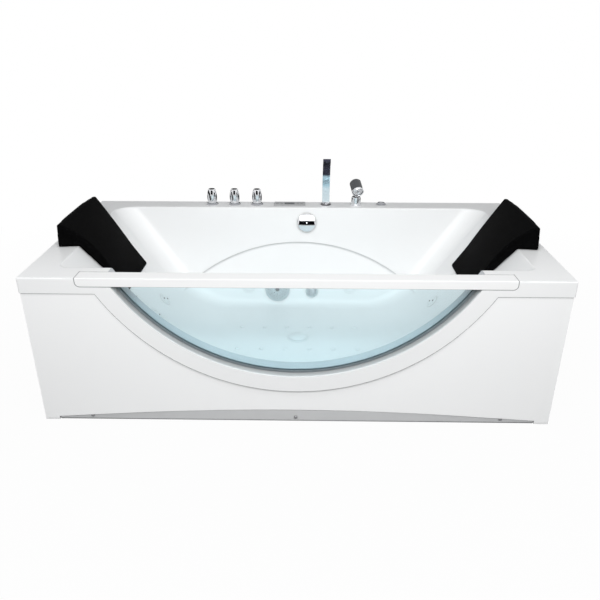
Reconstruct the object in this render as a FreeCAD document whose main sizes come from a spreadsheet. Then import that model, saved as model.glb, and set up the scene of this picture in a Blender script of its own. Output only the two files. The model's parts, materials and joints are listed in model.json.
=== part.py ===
# Jetted bathtub with a window in its front, in millimetres.
# X runs along the tub, Y from the front (-) to the wall side (+), Z up from the floor.
# The origin is on the floor under the middle of the tub.

import FreeCAD, Part
import Sketcher
import math
import os
import re
from FreeCAD import Rotation, Vector

SIZES = {
    # tub and rim
    "tub_length": 1800, "tub_width": 900, "rim_height": 552, "fascia_tall": 55, "shell_wall": 8,
    "rim_round": 5,
    # bathing well
    "opening_half": 797, "front_land": 96, "back_land": 93, "backrest_angle": 50,
    "floor_height": 130, "floor_blend": 300, "front_draft": 10, "back_draft": 117,
    "corner_round": 80, "front_round": 26, "floor_round": 45, "lip_round": 7,
    # arched recess low in the far wall
    "recess_depth": 12, "arch_radius": 759, "arch_top": 408,
    # window in the front wall and the frame band round it
    "smile_rise": 340, "window_radius": 704, "frame_band": 58, "frame_lip": 22,
    "glass_thick": 10, "glass_setback": 35, "seal_lip": 7, "seal_bed": 3, "seal_side": 4,
    # rail over the window, and the seats that carry its ends
    "rail_half": 711, "rail_tall": 30, "rail_deep": 56, "rail_round": 3, "rail_end_round": 14,
    "rail_gap": 1, "groove_deep": 16, "groove_gap": 0.5, "groove_short": 80,
    "seat_long": 157, "seat_inward": 40, "seat_wall": 18, "seat_back": 13,
    # apron panels and plinth
    "panel_thick": 18, "panel_inset": 2, "panel_side_inset": 5, "panel_gap": 1.5,
    "panel_slack": 0.5, "end_panel_thick": 5, "panel_lift": 2, "apron_foot": 50,
    "apron_rise": 15, "apron_arch": 47, "scoop_deep": 7, "scoop_radius": 650,
    "plinth_setback": 9, "plinth_lift": 0.5, "plinth_gap": 1,
    "bolt_end": 173, "bolt_radius": 6, "bolt_head": 4, "bolt_up": 16, "bolt_bevel": 1.5,
    "bolt_fit": 0.2,
    # support frame and feet
    "frame_tube": 30, "frame_level": 78, "frame_inset": 25, "rail_spread": 290, "cross_half": 345,
    "shelf_long": 230, "shelf_thick": 6, "tab_thick": 4, "arm_thick": 10, "tab_low": 6,
    "board_thick": 12, "board_half": 300, "board_short": 60, "board_room": 6,
    "foot_radius": 25, "foot_thick": 10, "foot_bevel": 3, "stem_radius": 6, "nut_radius": 11,
    "nut_tall": 8,
    # pillows
    "pillow_back": 868, "pillow_tip": 640, "pillow_near": -164, "pillow_far": 246,
    "pillow_tip_near": -142, "pillow_tip_far": 146, "pillow_crown": 5, "pillow_seat": 0.5,
    "pillow_ridge": 84, "pillow_shoulder": 165, "near_drop": 67, "middle_drop": 78, "far_drop": 98,
    "near_bow": 341, "middle_bow": 620, "far_bow": 2400, "pillow_lip": 12, "pillow_round": 5,
    "ridge_flat": 14, "ridge_step": 6, "ridge_fall": 2,
    "stud_radius": 5, "stud_deep": 14, "stud_gap": 0.3, "stud_spread": 110, "stud_x": 835,
    # water jets; two rows in each backrest's own slope
    "upper_jet": 271, "lower_jet": 387, "jet_middle": -37, "upper_spread": 99, "lower_spread": 74,
    "jet_radius": 22, "jet_fit": 1, "jet_flange": 27, "flange_edge": 1.5, "flange_tall": 3,
    "flange_bevel": 1.5, "jet_length": 45, "rotor_radius": 19.5, "rotor_gap": 0.5, "rotor_low": 1,
    "rotor_rise": 5.5, "spindle_radius": 4, "spindle_clear": 4,
    "nozzle_radius": 3.5, "nozzle_spread": 11, "nozzle_turn": 52, "run_clear": 0.05,
    # far wall fittings
    "wall_jet_x": 227, "wall_jet_z": 209,
    "suction_x": 97, "suction_z": 200, "suction_radius": 54, "suction_deep": 13,
    "suction_tail": 60, "suction_throat": 28, "suction_wall": 7, "suction_rim": 4, "slot_radius": 2.6,
    "slot_turn": 9, "screw_radius": 4, "screw_head": 8, "screw_sink": 3, "screw_proud": 0.5,
    "lamp_x": 57, "lamp_z": 191, "lamp_radius": 26.5, "lens_radius": 20, "lamp_deep": 40,
    "lamp_tall": 7, "lamp_bevel": 3, "lens_seat": 4, "lens_rise": 10, "lens_edge": 6,
    # floor air jets and waste
    "air_pitch": 94.5, "air_near": -146, "air_far": 37, "air_radius": 8, "air_shank": 4.8,
    "air_bore": 5, "air_rise": 3.2, "air_bevel": 0.6,
    "waste_y": -50, "plug_radius": 36, "plug_rise": 12, "plug_stem": 5, "plug_edge": 1.7,
    "plug_cone": 23, "waste_flange": 42, "waste_bore": 26, "waste_fit": 0.5, "waste_deep": 20,
    "waste_rise": 2.5, "waste_drop": 6, "spider_tall": 12, "spider_arm": 3, "spider_hub": 4,
    "waste_level": 50, "trap_wall": 12, "trap_floor": 6, "trap_low": 20, "trap_flange": 8,
    "outlet_radius": 25, "outlet_short": 20, "outlet_spigot": 38, "collar_thick": 6,
    "collar_rise": 3, "pipe_wall": 3,
    # overflow
    "overflow_x": 32, "overflow_z": 490, "overflow_radius": 40, "overflow_gap": 24,
    "overflow_pipe": 20, "overflow_turn_z": 125, "overflow_joint": 135, "socket_deep": 40,
    "socket_lap": 12, "socket_wall": 3, "overflow_hub": 23, "overflow_deep": 24, "overflow_rise": 3,
    "overflow_stand": 8, "overflow_face": 22, "overflow_stem": 18, "overflow_step": 10,
    "overflow_dome": 150, "overflow_edge": 1.5, "neck_slim": 4, "neck_drop": 8,
    # deck fittings
    "deck_inset": 40, "deck_shank": 14,
    "valve_first": -390, "valve_pitch": 100, "valve_flange": 26, "valve_tall": 68,
    "valve_body": 20, "valve_deep": 60, "valve_rise": 6, "knob_foot": 18.5, "knob_top": 16.5,
    "knob_curve": 122, "knob_edge": 3, "inlet_radius": 10.5, "inlet_reach": 30, "chamber_deep": 40,
    "panel_x": -45, "panel_wide": 137, "panel_deep": 56, "panel_proud": 4, "panel_sink": 22,
    "panel_round": 1.5, "panel_margin": 8, "pocket_floor": 2,
    "display_wide": 44, "display_deep": 26, "display_sink": 0.2,
    "button_radius": 6, "button_inner": 36, "button_outer": 54, "button_proud": 1.5,
    "button_travel": 1, "button_gap": 0.3, "button_stem": 2, "button_bevel": 0.6, "button_deep": 6,
    "button_clear": 0.4,
    "spout_x": 116, "spout_wide": 32, "spout_thick": 12, "spout_stand": 76, "spout_bend": 170,
    "spout_turn": 52, "spout_base": 23, "spout_shank": 10, "spout_fit": 3, "spout_edge": 3,
    "spout_foot_tall": 8,
    "shower_x": 250, "handle_radius": 11.5, "handle_fit": 0.1, "handle_tall": 84, "handle_sink": 34,
    "handle_taper": 10, "holder_deep": 40, "holder_tall": 36, "holder_wall": 3, "holder_flange": 12,
    "holder_radius": 20,
    "head_radius": 25, "head_long": 62, "head_pitch": 122, "head_left": 6, "head_back": 20,
    "head_up": 96, "head_bevel": 3, "face_inset": 5, "face_deep": 2,
    "air_knob_x": 362, "air_knob_radius": 20, "air_knob_tall": 13, "air_knob_stand": 2,
    "air_knob_edge": 6, "air_stem": 26, "air_body_radius": 9.8, "air_body_deep": 44,
    # machinery under the ends
    "pump_y": -305, "motor_radius": 62, "motor_long": 190, "fin_rise": 4,
    "fin_thick": 6, "fin_pitch": 22, "fin_first": 24, "cradle_wide": 100, "cradle_short": 60,
    "volute_radius": 78, "volute_wide": 56, "volute_lift": 6, "lug_wide": 70, "lug_tall": 24,
    "lug_short": 20,
    "inlet_long": 30, "port_wall": 5, "outlet_tall": 72, "outlet_inset": 24,
    "blower_radius": 78, "blower_tall": 130, "drum_foot": 10, "drum_cap": 22, "drum_lift": 12,
    "drum_flare": 16, "drum_shoulder": 40, "drum_neck": 30, "drum_rim": 6, "drum_bevel": 8,
    "spigot_up": 46, "spigot_long": 50, "spigot_wall": 6,
    "box_wide": 150, "box_deep": 80, "box_tall": 110, "box_round": 6, "box_inset": 20,
    "gland_bore": 6, "gland_wall": 5, "gland_long": 18, "gland_bevel": 4,
    "water_pipe": 16, "hose_radius": 9, "suction_pipe": 22, "air_pipe": 10,
    "main_inset": 90, "main_level": 300, "suction_inset": 78, "wall_hose_reach": 14,
    "end_hose_reach": 45, "air_run_level": 98, "air_low_level": 62, "air_dip": 4,
    "feed_out": 70, "feed_turn": 110, "feed_side": 50, "feed_past": 24,
    # bevels and thin edges of small turned pieces, and how far a wall laps the next one
    "small_bevel": 2, "wide_bevel": 4, "thin_edge": 1, "wall_lap": 4,
    # room between pieces that touch, and how far a cutting tool runs past what it cuts
    "face_gap": 0.1, "seat_fit": 0.5, "lift_gap": 0.3, "cut_past": 1, "cut_over": 20, "cut_deep": 60,
}

ALIAS = re.compile(r"\b[a-z]+(?:_[a-z]+)+\b")
X_AXIS, Y_AXIS, Z_AXIS = Vector(1, 0, 0), Vector(0, 1, 0), Vector(0, 0, 1)
TOUCH = 0.01

doc = FreeCAD.newDocument("JettedBathtub")
sheet = doc.addObject("Spreadsheet::Sheet", "Sizes")
for row, (alias, number) in enumerate(SIZES.items(), start=1):
    sheet.set(f"A{row}", alias)
    sheet.set(f"B{row}", str(number))
    sheet.setAlias(f"B{row}", alias)
doc.recompute()

subparts = []


# ---------------------------------------------------------------- formulas and features

def bound(formula):
    """The formula with each size read from the sheet."""
    return ALIAS.sub(lambda word: "Sizes." + word.group(0), str(formula))


def value(formula):
    """What the formula is worth with the sheet's present sizes."""
    result = sheet.evalExpression(str(formula))
    return float(getattr(result, "Value", result))


def bind(feature, **formulas):
    for name, formula in formulas.items():
        feature.setExpression(name, bound(formula))


def put(feature, at=("0", "0", "0"), axis=None, angle=None):
    """Places a feature by formulas: a point, and a turn about one axis."""
    if axis is not None:
        feature.Placement.Rotation = Rotation(axis, value(angle))
        feature.setExpression("Placement.Rotation.Angle", bound(angle))
    for letter, formula in zip("xyz", at):
        feature.setExpression("Placement.Base." + letter, bound(formula))
    return feature


def box(name, length, width, height, at):
    solid = doc.addObject("Part::Box", name)
    bind(solid, Length=length, Width=width, Height=height)
    return put(solid, at)


def cylinder(name, radius, height, at, axis=None, angle=None):
    solid = doc.addObject("Part::Cylinder", name)
    bind(solid, Radius=radius, Height=height)
    return put(solid, at, axis, angle)


def cut(name, base, tool):
    result = doc.addObject("Part::Cut", name)
    result.Base, result.Tool = base, tool
    return result


def common(name, first, second):
    result = doc.addObject("Part::Common", name)
    result.Base, result.Tool = first, second
    return result


def fuse(name, solids):
    result = doc.addObject("Part::MultiFuse", name)
    result.Shapes = solids
    result.Refine = True
    return result


def group(name, solids):
    result = doc.addObject("Part::Compound", name)
    result.Links = solids
    return result


def rounded(name, base, radius, chosen):
    """Rounds the edges of base that the test picks."""
    doc.recompute()
    size = value(radius)
    edges = [(i, size, size) for i, edge in enumerate(base.Shape.Edges, start=1) if chosen(edge)]
    result = doc.addObject("Part::Fillet", name)
    result.Base = base
    result.Edges = edges
    return result


def plane_of(body, role):
    return next(item for item in body.Origin.OriginFeatures if item.Role == role)


def outline(body, name, role, points, arcs=None, shift=None):
    """A closed sketch through points given by formulas, moved off its plane by shift.

    arcs names the sides that are arcs: the number of the side's first point, with the arc's
    radius and +1 where the arc turns left on the way round or -1 where it turns right.
    """
    arcs = arcs or {}
    sketch = body.newObject("Sketcher::SketchObject", name)
    sketch.AttachmentSupport = (plane_of(body, role), [""])
    sketch.MapMode = "FlatFace"
    if shift is not None:
        sketch.setExpression("AttachmentOffset.Base.z", bound(shift))
    places = [Vector(value(u), value(v), 0) for u, v in points]
    firsts = []
    lasts = []
    for i, start in enumerate(places):
        end = places[(i + 1) % len(places)]
        if i in arcs:
            radius, side = arcs[i]
            reach = value(radius)
            half = end.sub(start).multiply(0.5)
            inward = Vector(-half.y, half.x, 0).normalize().multiply(side)
            centre = start + half + inward * math.sqrt(max(reach**2 - half.Length**2, 0))
            near = math.atan2(start.y - centre.y, start.x - centre.x)
            far = math.atan2(end.y - centre.y, end.x - centre.x)
            span = (near, far) if side > 0 else (far, near)
            circle = Part.Circle(centre, Z_AXIS, reach)
            side_id = sketch.addGeometry(Part.ArcOfCircle(circle, *span))
            firsts.append((side_id, 1 if side > 0 else 2))
            lasts.append((side_id, 2 if side > 0 else 1))
            constrain(sketch, "Radius", (side_id, reach), radius)
        else:
            side_id = sketch.addGeometry(Part.LineSegment(start, end))
            firsts.append((side_id, 1))
            lasts.append((side_id, 2))
    for i, (side_id, end_id) in enumerate(firsts):
        sketch.addConstraint(Sketcher.Constraint("Coincident", *lasts[i - 1], side_id, end_id))
        for kind, axis_id, formula in (("DistanceX", -2, points[i][0]), ("DistanceY", -1, points[i][1])):
            if str(formula) == "0":
                sketch.addConstraint(Sketcher.Constraint("PointOnObject", side_id, end_id, axis_id))
            else:
                constrain(sketch, kind, (-1, 1, side_id, end_id, value(formula)), formula)
    return sketch


def constrain(sketch, kind, numbers, formula):
    """Adds one dimension to a sketch and ties it to its formula."""
    place = sketch.addConstraint(Sketcher.Constraint(kind, *numbers))
    sketch.setExpression(f"Constraints[{place}]", bound(formula))


def prism(name, role, points, length, arcs=None):
    """An outline on one of the main planes, padded the same way to both sides of it."""
    body = doc.addObject("PartDesign::Body", name)
    pad = body.newObject("PartDesign::Pad", name + "_pad")
    pad.Profile = outline(body, name + "_outline", role, points, arcs)
    pad.Midplane = True
    bind(pad, Length=length)
    return body


def turned(name, points, at=("0", "0", "0"), axis=None, angle=None, arcs=None):
    """A solid of revolution: (radius, height) points turned about the piece's own Z."""
    body = doc.addObject("PartDesign::Body", name)
    sketch = outline(body, name + "_outline", "XZ_Plane", points, arcs)
    turn = body.newObject("PartDesign::Revolution", name + "_turn")
    turn.Profile = sketch
    turn.ReferenceAxis = (sketch, ["V_Axis"])
    turn.Angle = 360
    return put(body, at, axis, angle)


def keep(feature, label=None):
    """Marks a finished sub-part, which is one node of the tub."""
    feature.Label = label or feature.Name
    subparts.append(feature)
    return feature


# ---------------------------------------------------------------- shared places

FRONT = "(-tub_width/2)"
BACK = "(tub_width/2)"
DECK = "rim_height"
DECK_Y = f"({BACK} - deck_inset)"
SMILE_Z = "(rim_height + smile_rise)"
SEAM_RADIUS = "(window_radius + frame_band)"
WELL_TALL = "(rim_height - floor_height)"
WALL_TILT = f"(90 deg - atan(back_draft/{WELL_TALL}))"
RAIL_LEVEL = "(rim_height - rail_tall)"
BED = "(frame_level + frame_tube)"
SHELF = f"({BED} + shelf_thick)"
PLINTH_BACK = "(panel_inset + panel_thick + panel_slack)"
PLINTH_THICK = f"({PLINTH_BACK} - plinth_setback)"
PIPE_Y = f"({BACK} - shell_wall - overflow_gap)"
OUTLET_END = f"({BACK} - outlet_short)"
MACHINE_X = "(tub_length/2 - frame_inset - frame_tube - shelf_long/2)"
AXLE = f"({SHELF} + volute_radius + volute_lift)"
PUMP_FACE = "(pump_y + motor_long/2 + volute_wide)"
OUTLET_AWAY = "(volute_radius - outlet_inset)"
BEND_RATIO = 1.6
FINS = 7
HEAD_AXIS = Vector(1, 0.22, 0)
# number of slots in each ring of the suction cover, and the ring's radius
SLOT_RINGS = ((8, 20), (14, 30), (20, 40))
FAR_WALL = (X_AXIS, WALL_TILT)
TO_FRONT = (X_AXIS, "90")


def front_y(level, grow="0"):
    """Front wall of the well at a height, moved out by grow."""
    return f"({FRONT} + front_land + front_draft*(rim_height - ({level}))/{WELL_TALL} - ({grow}))"


def back_y(level, grow="0"):
    """Far wall of the well at a height, moved out by grow."""
    return f"({BACK} - back_land - back_draft*(rim_height - ({level}))/{WELL_TALL} + ({grow}))"


def back_x(level, grow="0"):
    """Backrest of the well at a height, moved out by grow, square to its slope."""
    return f"(opening_half + ({grow})/sin(backrest_angle) + (({level}) - rim_height)/tan(backrest_angle))"


def on_backrest(side, distance, y):
    """A point on a backrest, at a distance down its slope from the rim."""
    return (f"{side}*(opening_half - ({distance})*cos(backrest_angle))", y,
            f"rim_height - ({distance})*sin(backrest_angle)")


def jet_places():
    for end, side in (("left", -1), ("right", 1)):
        rows = (("upper_jet", "upper_spread"), ("lower_jet", "lower_spread"))
        for i, (distance, spread) in enumerate(rows):
            for k, sign in enumerate((-1, 1)):
                spot = on_backrest(side, distance, f"jet_middle + {sign}*{spread}")
                yield f"{end}_jet_rotor_{2*i + k + 1}", spot, Y_AXIS, f"{-side}*backrest_angle"
    for k, sign in enumerate((-1, 1), start=1):
        spot = (f"{sign}*wall_jet_x", back_y("wall_jet_z", "recess_depth"), "wall_jet_z")
        yield f"back_jet_rotor_{k}", spot, *FAR_WALL


def air_places():
    for level in ("air_near", "air_far"):
        for step in (-2.5, -1.5, -0.5, 0.5, 1.5, 2.5):
            yield (f"{step}*air_pitch", level, "floor_height")


def foot_spots():
    outer = "(tub_length/2 - frame_inset - frame_tube)"
    spots = ((outer, "(tub_width/2 - frame_inset - 2*frame_tube)"), ("cross_half", "rail_spread"))
    return [(f"{side}*{x}", f"{sign}*{y}") for side in (-1, 1) for sign in (-1, 1) for x, y in spots]


def stud_y(sign):
    return f"(pillow_near + pillow_far)/2 + {sign}*stud_spread"


SUCTION_TUBE = "(suction_throat + suction_wall)"
SUCTION = ("-suction_x", back_y("suction_z", "recess_depth"), "suction_z")
LAMP = ("lamp_x", back_y("lamp_z", "recess_depth"), "lamp_z")
OVERFLOW = ("overflow_x", back_y("overflow_z"), "overflow_z")
WASTE = ("0", "waste_y", "floor_height")
VALVES = [(f"valve_first + {i}*valve_pitch", DECK_Y, DECK) for i in range(3)]
SPOUT = ("spout_x", DECK_Y, DECK)
SHOWER = ("shower_x", DECK_Y, DECK)
AIR_KNOB = ("air_knob_x", DECK_Y, DECK)
BOLTS = ("(bolt_end - tub_length/2)", "0", "(tub_length/2 - bolt_end)")
BLOWER = (f"-{MACHINE_X}", "pump_y", SHELF)


# ---------------------------------------------------------------- basin

def well(name, grow, back_grow, top):
    """The bathing well as a solid, moved out by grow: sloped ends, drafted long walls."""
    low = f"(floor_height - ({grow}))"
    ends = prism(name + "_ends", "XZ_Plane", [
        (f"-{back_x(low, grow)}", low), (back_x(low, grow), low),
        (back_x(top, grow), top), (f"-{back_x(top, grow)}", top)], "tub_width")
    doc.recompute()
    floor_level = value(low)
    pad = ends.Tip
    blend = ends.newObject("PartDesign::Fillet", name + "_blend")
    corners = [f"Edge{i}" for i, edge in enumerate(ends.Shape.Edges, start=1)
               if abs(edge.BoundBox.ZMax - floor_level) < TOUCH and edge.BoundBox.YLength > 1
               and edge.BoundBox.XLength < 1]
    blend.Base = (pad, corners)
    bind(blend, Radius=f"floor_blend + ({grow})")
    deep = f"({low} - cut_deep)"
    sides = prism(name + "_sides", "YZ_Plane", [
        (front_y(deep, grow), deep), (back_y(deep, back_grow), deep),
        (back_y(top, back_grow), top), (front_y(top, grow), top)], "2*tub_length")
    sharp = common(name + "_sharp", ends, sides)

    def on_long_wall(edge):
        places = [edge.valueAt(edge.FirstParameter), edge.valueAt(edge.LastParameter)]
        if min(place.z for place in places) > value(top) - TOUCH:
            return False
        places.append(edge.valueAt((edge.FirstParameter + edge.LastParameter) / 2))
        for wall, shift in ((front_y, grow), (back_y, back_grow)):
            if all(abs(place.y - value(wall(place.z, shift))) < TOUCH for place in places):
                return True
        return False

    doc.recompute()
    soft = doc.addObject("Part::Fillet", name)
    soft.Base = sharp
    wide, tight = value(f"corner_round + ({grow})"), value(f"floor_round + ({grow})")
    near = value(f"front_round + ({grow})")
    edges = []
    for i, edge in enumerate(sharp.Shape.Edges, start=1):
        if on_long_wall(edge):
            ends_of = (edge.valueAt(edge.FirstParameter), edge.valueAt(edge.LastParameter))
            high = near if ends_of[0].y < 0 else wide
            edges.append((i, *(tight if point.z < floor_level + TOUCH else high for point in ends_of)))
    soft.Edges = edges
    return soft


def rim_tray():
    """Flat rim with its turned-down fascia, hollow underneath."""
    block = box("rim_block", "tub_length", "tub_width", "fascia_tall",
                ("-tub_length/2", FRONT, "rim_height - fascia_tall"))

    def outside(edge):
        middle = edge.valueAt((edge.FirstParameter + edge.LastParameter) / 2)
        upright = edge.BoundBox.ZLength > 1
        return upright or abs(middle.z - value("rim_height")) < TOUCH

    soft = rounded("rim_soft", block, "rim_round", outside)
    hollow = box("rim_hollow", "tub_length - 2*shell_wall", "tub_width - 2*shell_wall",
                 "fascia_tall - shell_wall + cut_past",
                 ("-tub_length/2 + shell_wall", f"{FRONT} + shell_wall",
                  "rim_height - fascia_tall - cut_past"))
    return cut("rim_tray", soft, hollow)


def window_disc(name, radius, start, length, top):
    """A disc round the window's centre, below a level: start is its distance behind the front."""
    disc = cylinder(name + "_disc", radius, length, ("0", f"{FRONT} + {start} + {length}", SMILE_Z),
                    *TO_FRONT)
    below = box(name + "_below", "tub_length", "tub_width", top, ("-tub_length/2", FRONT, "0"))
    return common(name, disc, below)


def rail_blank(name, slack, extra):
    """The rail's space: its lower corners are rounded as seen from the front."""
    radius = f"(rail_end_round + {slack})"
    half = f"(rail_half + {slack})"
    top = f"({DECK} + {extra})"
    blank = prism(name, "XZ_Plane", [
        (f"-{half} + {radius}", RAIL_LEVEL), (f"{half} - {radius}", RAIL_LEVEL),
        (half, f"{RAIL_LEVEL} + {radius}"), (half, top), (f"-{half}", top),
        (f"-{half}", f"{RAIL_LEVEL} + {radius}")],
        f"rail_deep + 2*({extra})", {1: (radius, 1), 5: (radius, 1)})
    return put(blank, ("0", f"{FRONT} + rail_deep/2", "0"))


def shell_cuts():
    """Everything that passes through the shell."""
    deck_low = f"{DECK} - shell_wall - cut_over"
    floor_low = "floor_height - shell_wall - cut_over"
    bores = []
    for i, (_, spot, axis, angle) in enumerate(jet_places()):
        bores.append(turned(f"jet_bore_{i}", [
            ("0", "-2*jet_length"), ("jet_radius", "-2*jet_length"), ("jet_radius", "cut_over"),
            ("0", "cut_over")], spot, axis, angle))
    for i, (x, y, _) in enumerate(air_places()):
        bores.append(cylinder(f"air_bore_{i}", "air_bore", "cut_deep", (x, y, floor_low)))
    for name, spot, radius, seat in (
            ("suction_bore", SUCTION, f"{SUCTION_TUBE} + jet_fit", "suction_radius + seat_fit"),
            ("lamp_bore", LAMP, "lens_radius + jet_fit", "lamp_radius + seat_fit"),
            ("overflow_bore", OVERFLOW, "overflow_hub + jet_fit", "overflow_radius")):
        bores.append(turned(name, [
            ("0", "-cut_deep"), (radius, "-cut_deep"), (radius, "0"), (seat, "0"),
            (seat, "cut_over"), ("0", "cut_over")], spot, *FAR_WALL))
    bores.append(cylinder("waste_hole", "waste_bore + pipe_wall", "cut_deep", ("0", "waste_y", floor_low)))
    for i, spot in enumerate(VALVES):
        bores.append(cylinder(f"valve_hole_{i}", "deck_shank", "cut_deep", (spot[0], spot[1], deck_low)))
    for name, spot, radius in (("spout_hole", SPOUT, "spout_shank + spout_fit"),
                               ("shower_hole", SHOWER, "handle_radius + holder_wall + seat_fit"),
                               ("air_knob_hole", AIR_KNOB, "air_body_radius + bolt_fit")):
        bores.append(cylinder(name, radius, "cut_deep", (spot[0], spot[1], deck_low)))
    bores.append(box("panel_hole", "panel_wide - 2*panel_margin", "panel_deep - 2*panel_margin",
                     "cut_deep", ("panel_x - panel_wide/2 + panel_margin",
                                  f"{DECK_Y} - panel_deep/2 + panel_margin", deck_low)))
    for side in (-1, 1):
        for sign in (-1, 1):
            bores.append(cylinder(f"stud_hole_{side + 1}{sign + 1}", "stud_radius + stud_gap",
                                  "cut_deep", (f"{side}*stud_x", stud_y(sign), deck_low)))
    return group("shell_bores", bores)


def rail_seats():
    """Solid blocks in the shell under the rail's two ends."""
    return [box(f"rail_seat_{side + 1}", "seat_long", "rail_deep + seat_back - cut_past",
                "rail_tall + seat_wall",
                (f"{side}*(rail_half - seat_inward) - seat_long/2", f"{FRONT} + cut_past",
                 f"{RAIL_LEVEL} - seat_wall - cut_past")) for side in (-1, 1)]


def basin():
    under_deck = f"{DECK} - cut_past"
    outer = well("outer", "shell_wall", "shell_wall + recess_depth", f"{DECK} - shell_wall/2")
    hollow = well("hollow", "0", "0", f"{DECK} + cut_over")
    frame = window_disc("frame_plate", SEAM_RADIUS, "0", "shell_wall", under_deck)
    inside = cylinder("frame_inside", f"{SEAM_RADIUS} - shell_wall", "frame_lip + 2*cut_past",
                      ("0", f"{FRONT} + frame_lip + cut_past", SMILE_Z), *TO_FRONT)
    lip = cut("frame_ring", window_disc("frame_edge", SEAM_RADIUS, "0", "frame_lip", under_deck), inside)
    tunnel = window_disc("tunnel", "window_radius + shell_wall", "cut_past",
                         f"{front_y('floor_height')} - {FRONT} - seal_side", under_deck)
    whole = fuse("basin_whole", [rim_tray(), outer, frame, lip, tunnel] + rail_seats())

    moved = put(group("recess_moved", [hollow]), ("0", "recess_depth", "0"))
    arch = cylinder("recess_arch", "arch_radius", "tub_width/2",
                    ("0", f"{BACK} + cut_over", "arch_top - arch_radius"), *TO_FRONT)
    recess = common("recess", moved, arch)
    window = cylinder("window_cut", "window_radius", "front_land + cut_deep",
                      ("0", f"{FRONT} + front_land + cut_deep - cut_past", SMILE_Z), *TO_FRONT)
    notch = rail_blank("rail_notch", "rail_gap", "cut_past")
    opened = cut("basin_opened", whole, fuse("well_cuts", [hollow, recess]))
    windowed = cut("basin_windowed", opened, group("front_cuts", [window, notch]))

    def well_edge(edge):
        """The rim's inner edge, round the back and the ends of the well."""
        extent = edge.BoundBox
        if abs(extent.ZMax - value(DECK)) > TOUCH or extent.ZLength > TOUCH:
            return False
        middle = edge.valueAt((edge.FirstParameter + edge.LastParameter) / 2)
        inside_x = abs(middle.x) < value("opening_half + cut_past")
        inside_y = value(front_y(DECK, "cut_past")) < middle.y < value(back_y(DECK, "cut_past"))
        return inside_x and inside_y and edge.Length > value("cut_over")

    soft = rounded("basin_soft", windowed, "lip_round", well_edge)
    keep(cut("basin_shell", soft, shell_cuts()))


def window():
    keep(window_disc("window_glass", "window_radius - seal_bed", "glass_setback", "glass_thick",
                     f"{RAIL_LEVEL} + groove_deep - cut_past"))
    ring = window_disc("seal_ring", "window_radius", "(glass_setback - seal_side)",
                       "(glass_thick + 2*seal_side)", RAIL_LEVEL)
    inside = cylinder("seal_inside", "window_radius - seal_lip", "front_land",
                      ("0", f"{FRONT} + front_land", SMILE_Z), *TO_FRONT)
    hoop = cut("seal_hoop", ring, inside)
    bed = window_disc("seal_groove", "window_radius - seal_bed", "glass_setback", "glass_thick", DECK)
    keep(cut("window_seal", hoop, bed))


def rail():
    blank = rail_blank("rail_solid", "0", "0")

    def long_edge(edge):
        top = value(f"{DECK} - cut_past")
        return edge.BoundBox.XLength > value("rail_half") and edge.BoundBox.ZMax > top

    soft = rounded("rail_soft", blank, "rail_round", long_edge)
    groove = box("rail_groove", "2*window_radius - 2*groove_short", "glass_thick + 2*groove_gap",
                 "groove_deep + cut_past",
                 ("groove_short - window_radius", f"{FRONT} + glass_setback - groove_gap",
                  f"{RAIL_LEVEL} - cut_past"))
    keep(cut("front_rail", soft, groove))


# ---------------------------------------------------------------- panels and plinth

def arch_under(name, top):
    """A very wide disc whose top edge is the apron's arched lower edge, moved to end at top."""
    chord = "(tub_length/2 - panel_side_inset - apron_foot)"
    rise = "(apron_arch - apron_rise)"
    radius = f"(({chord})^2 + ({rise})^2)/(2*{rise})"
    return cylinder(name, radius, "cut_deep + cut_over", ("0", f"{FRONT} + cut_deep", f"{top} - {radius}"),
                    *TO_FRONT)


def panels():
    half = "(tub_length/2 - panel_side_inset)"
    face_y = f"{FRONT} + panel_inset"
    tall = "(rim_height - fascia_tall - panel_gap - panel_lift)"
    plate = box("panel_plate", f"2*{half}", "panel_thick", tall, (f"-{half}", face_y, "panel_lift"))
    seam = cylinder("panel_seam", f"{SEAM_RADIUS} + panel_gap", "cut_deep + cut_over",
                    ("0", f"{FRONT} + cut_deep", SMILE_Z), *TO_FRONT)
    foot_half = f"({half} - apron_foot)"
    span = box("panel_arch_span", f"2*{foot_half}", "cut_deep + cut_over", "2*apron_arch",
               (f"-{foot_half}", f"{FRONT} - cut_over", "0"))
    arch = common("panel_arch", arch_under("panel_arch_disc", "apron_arch"), span)
    scoop = doc.addObject("Part::Sphere", "panel_scoop")
    ball = "(scoop_radius^2 + scoop_deep^2)/(2*scoop_deep)"
    bind(scoop, Radius=ball)
    put(scoop, ("0", f"{face_y} - {ball} + scoop_deep", "apron_arch"))
    keep(cut("front_panel", plate, group("panel_cuts", [seam, arch, scoop])))
    for end, side in (("left", -1), ("right", 1)):
        x = f"{side}*({half} - end_panel_thick/2) - end_panel_thick/2"
        keep(box(f"{end}_end_panel", "end_panel_thick",
                 f"tub_width - {PLINTH_BACK} - panel_inset", tall,
                 (x, f"{FRONT} + {PLINTH_BACK}", "panel_lift")))


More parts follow.
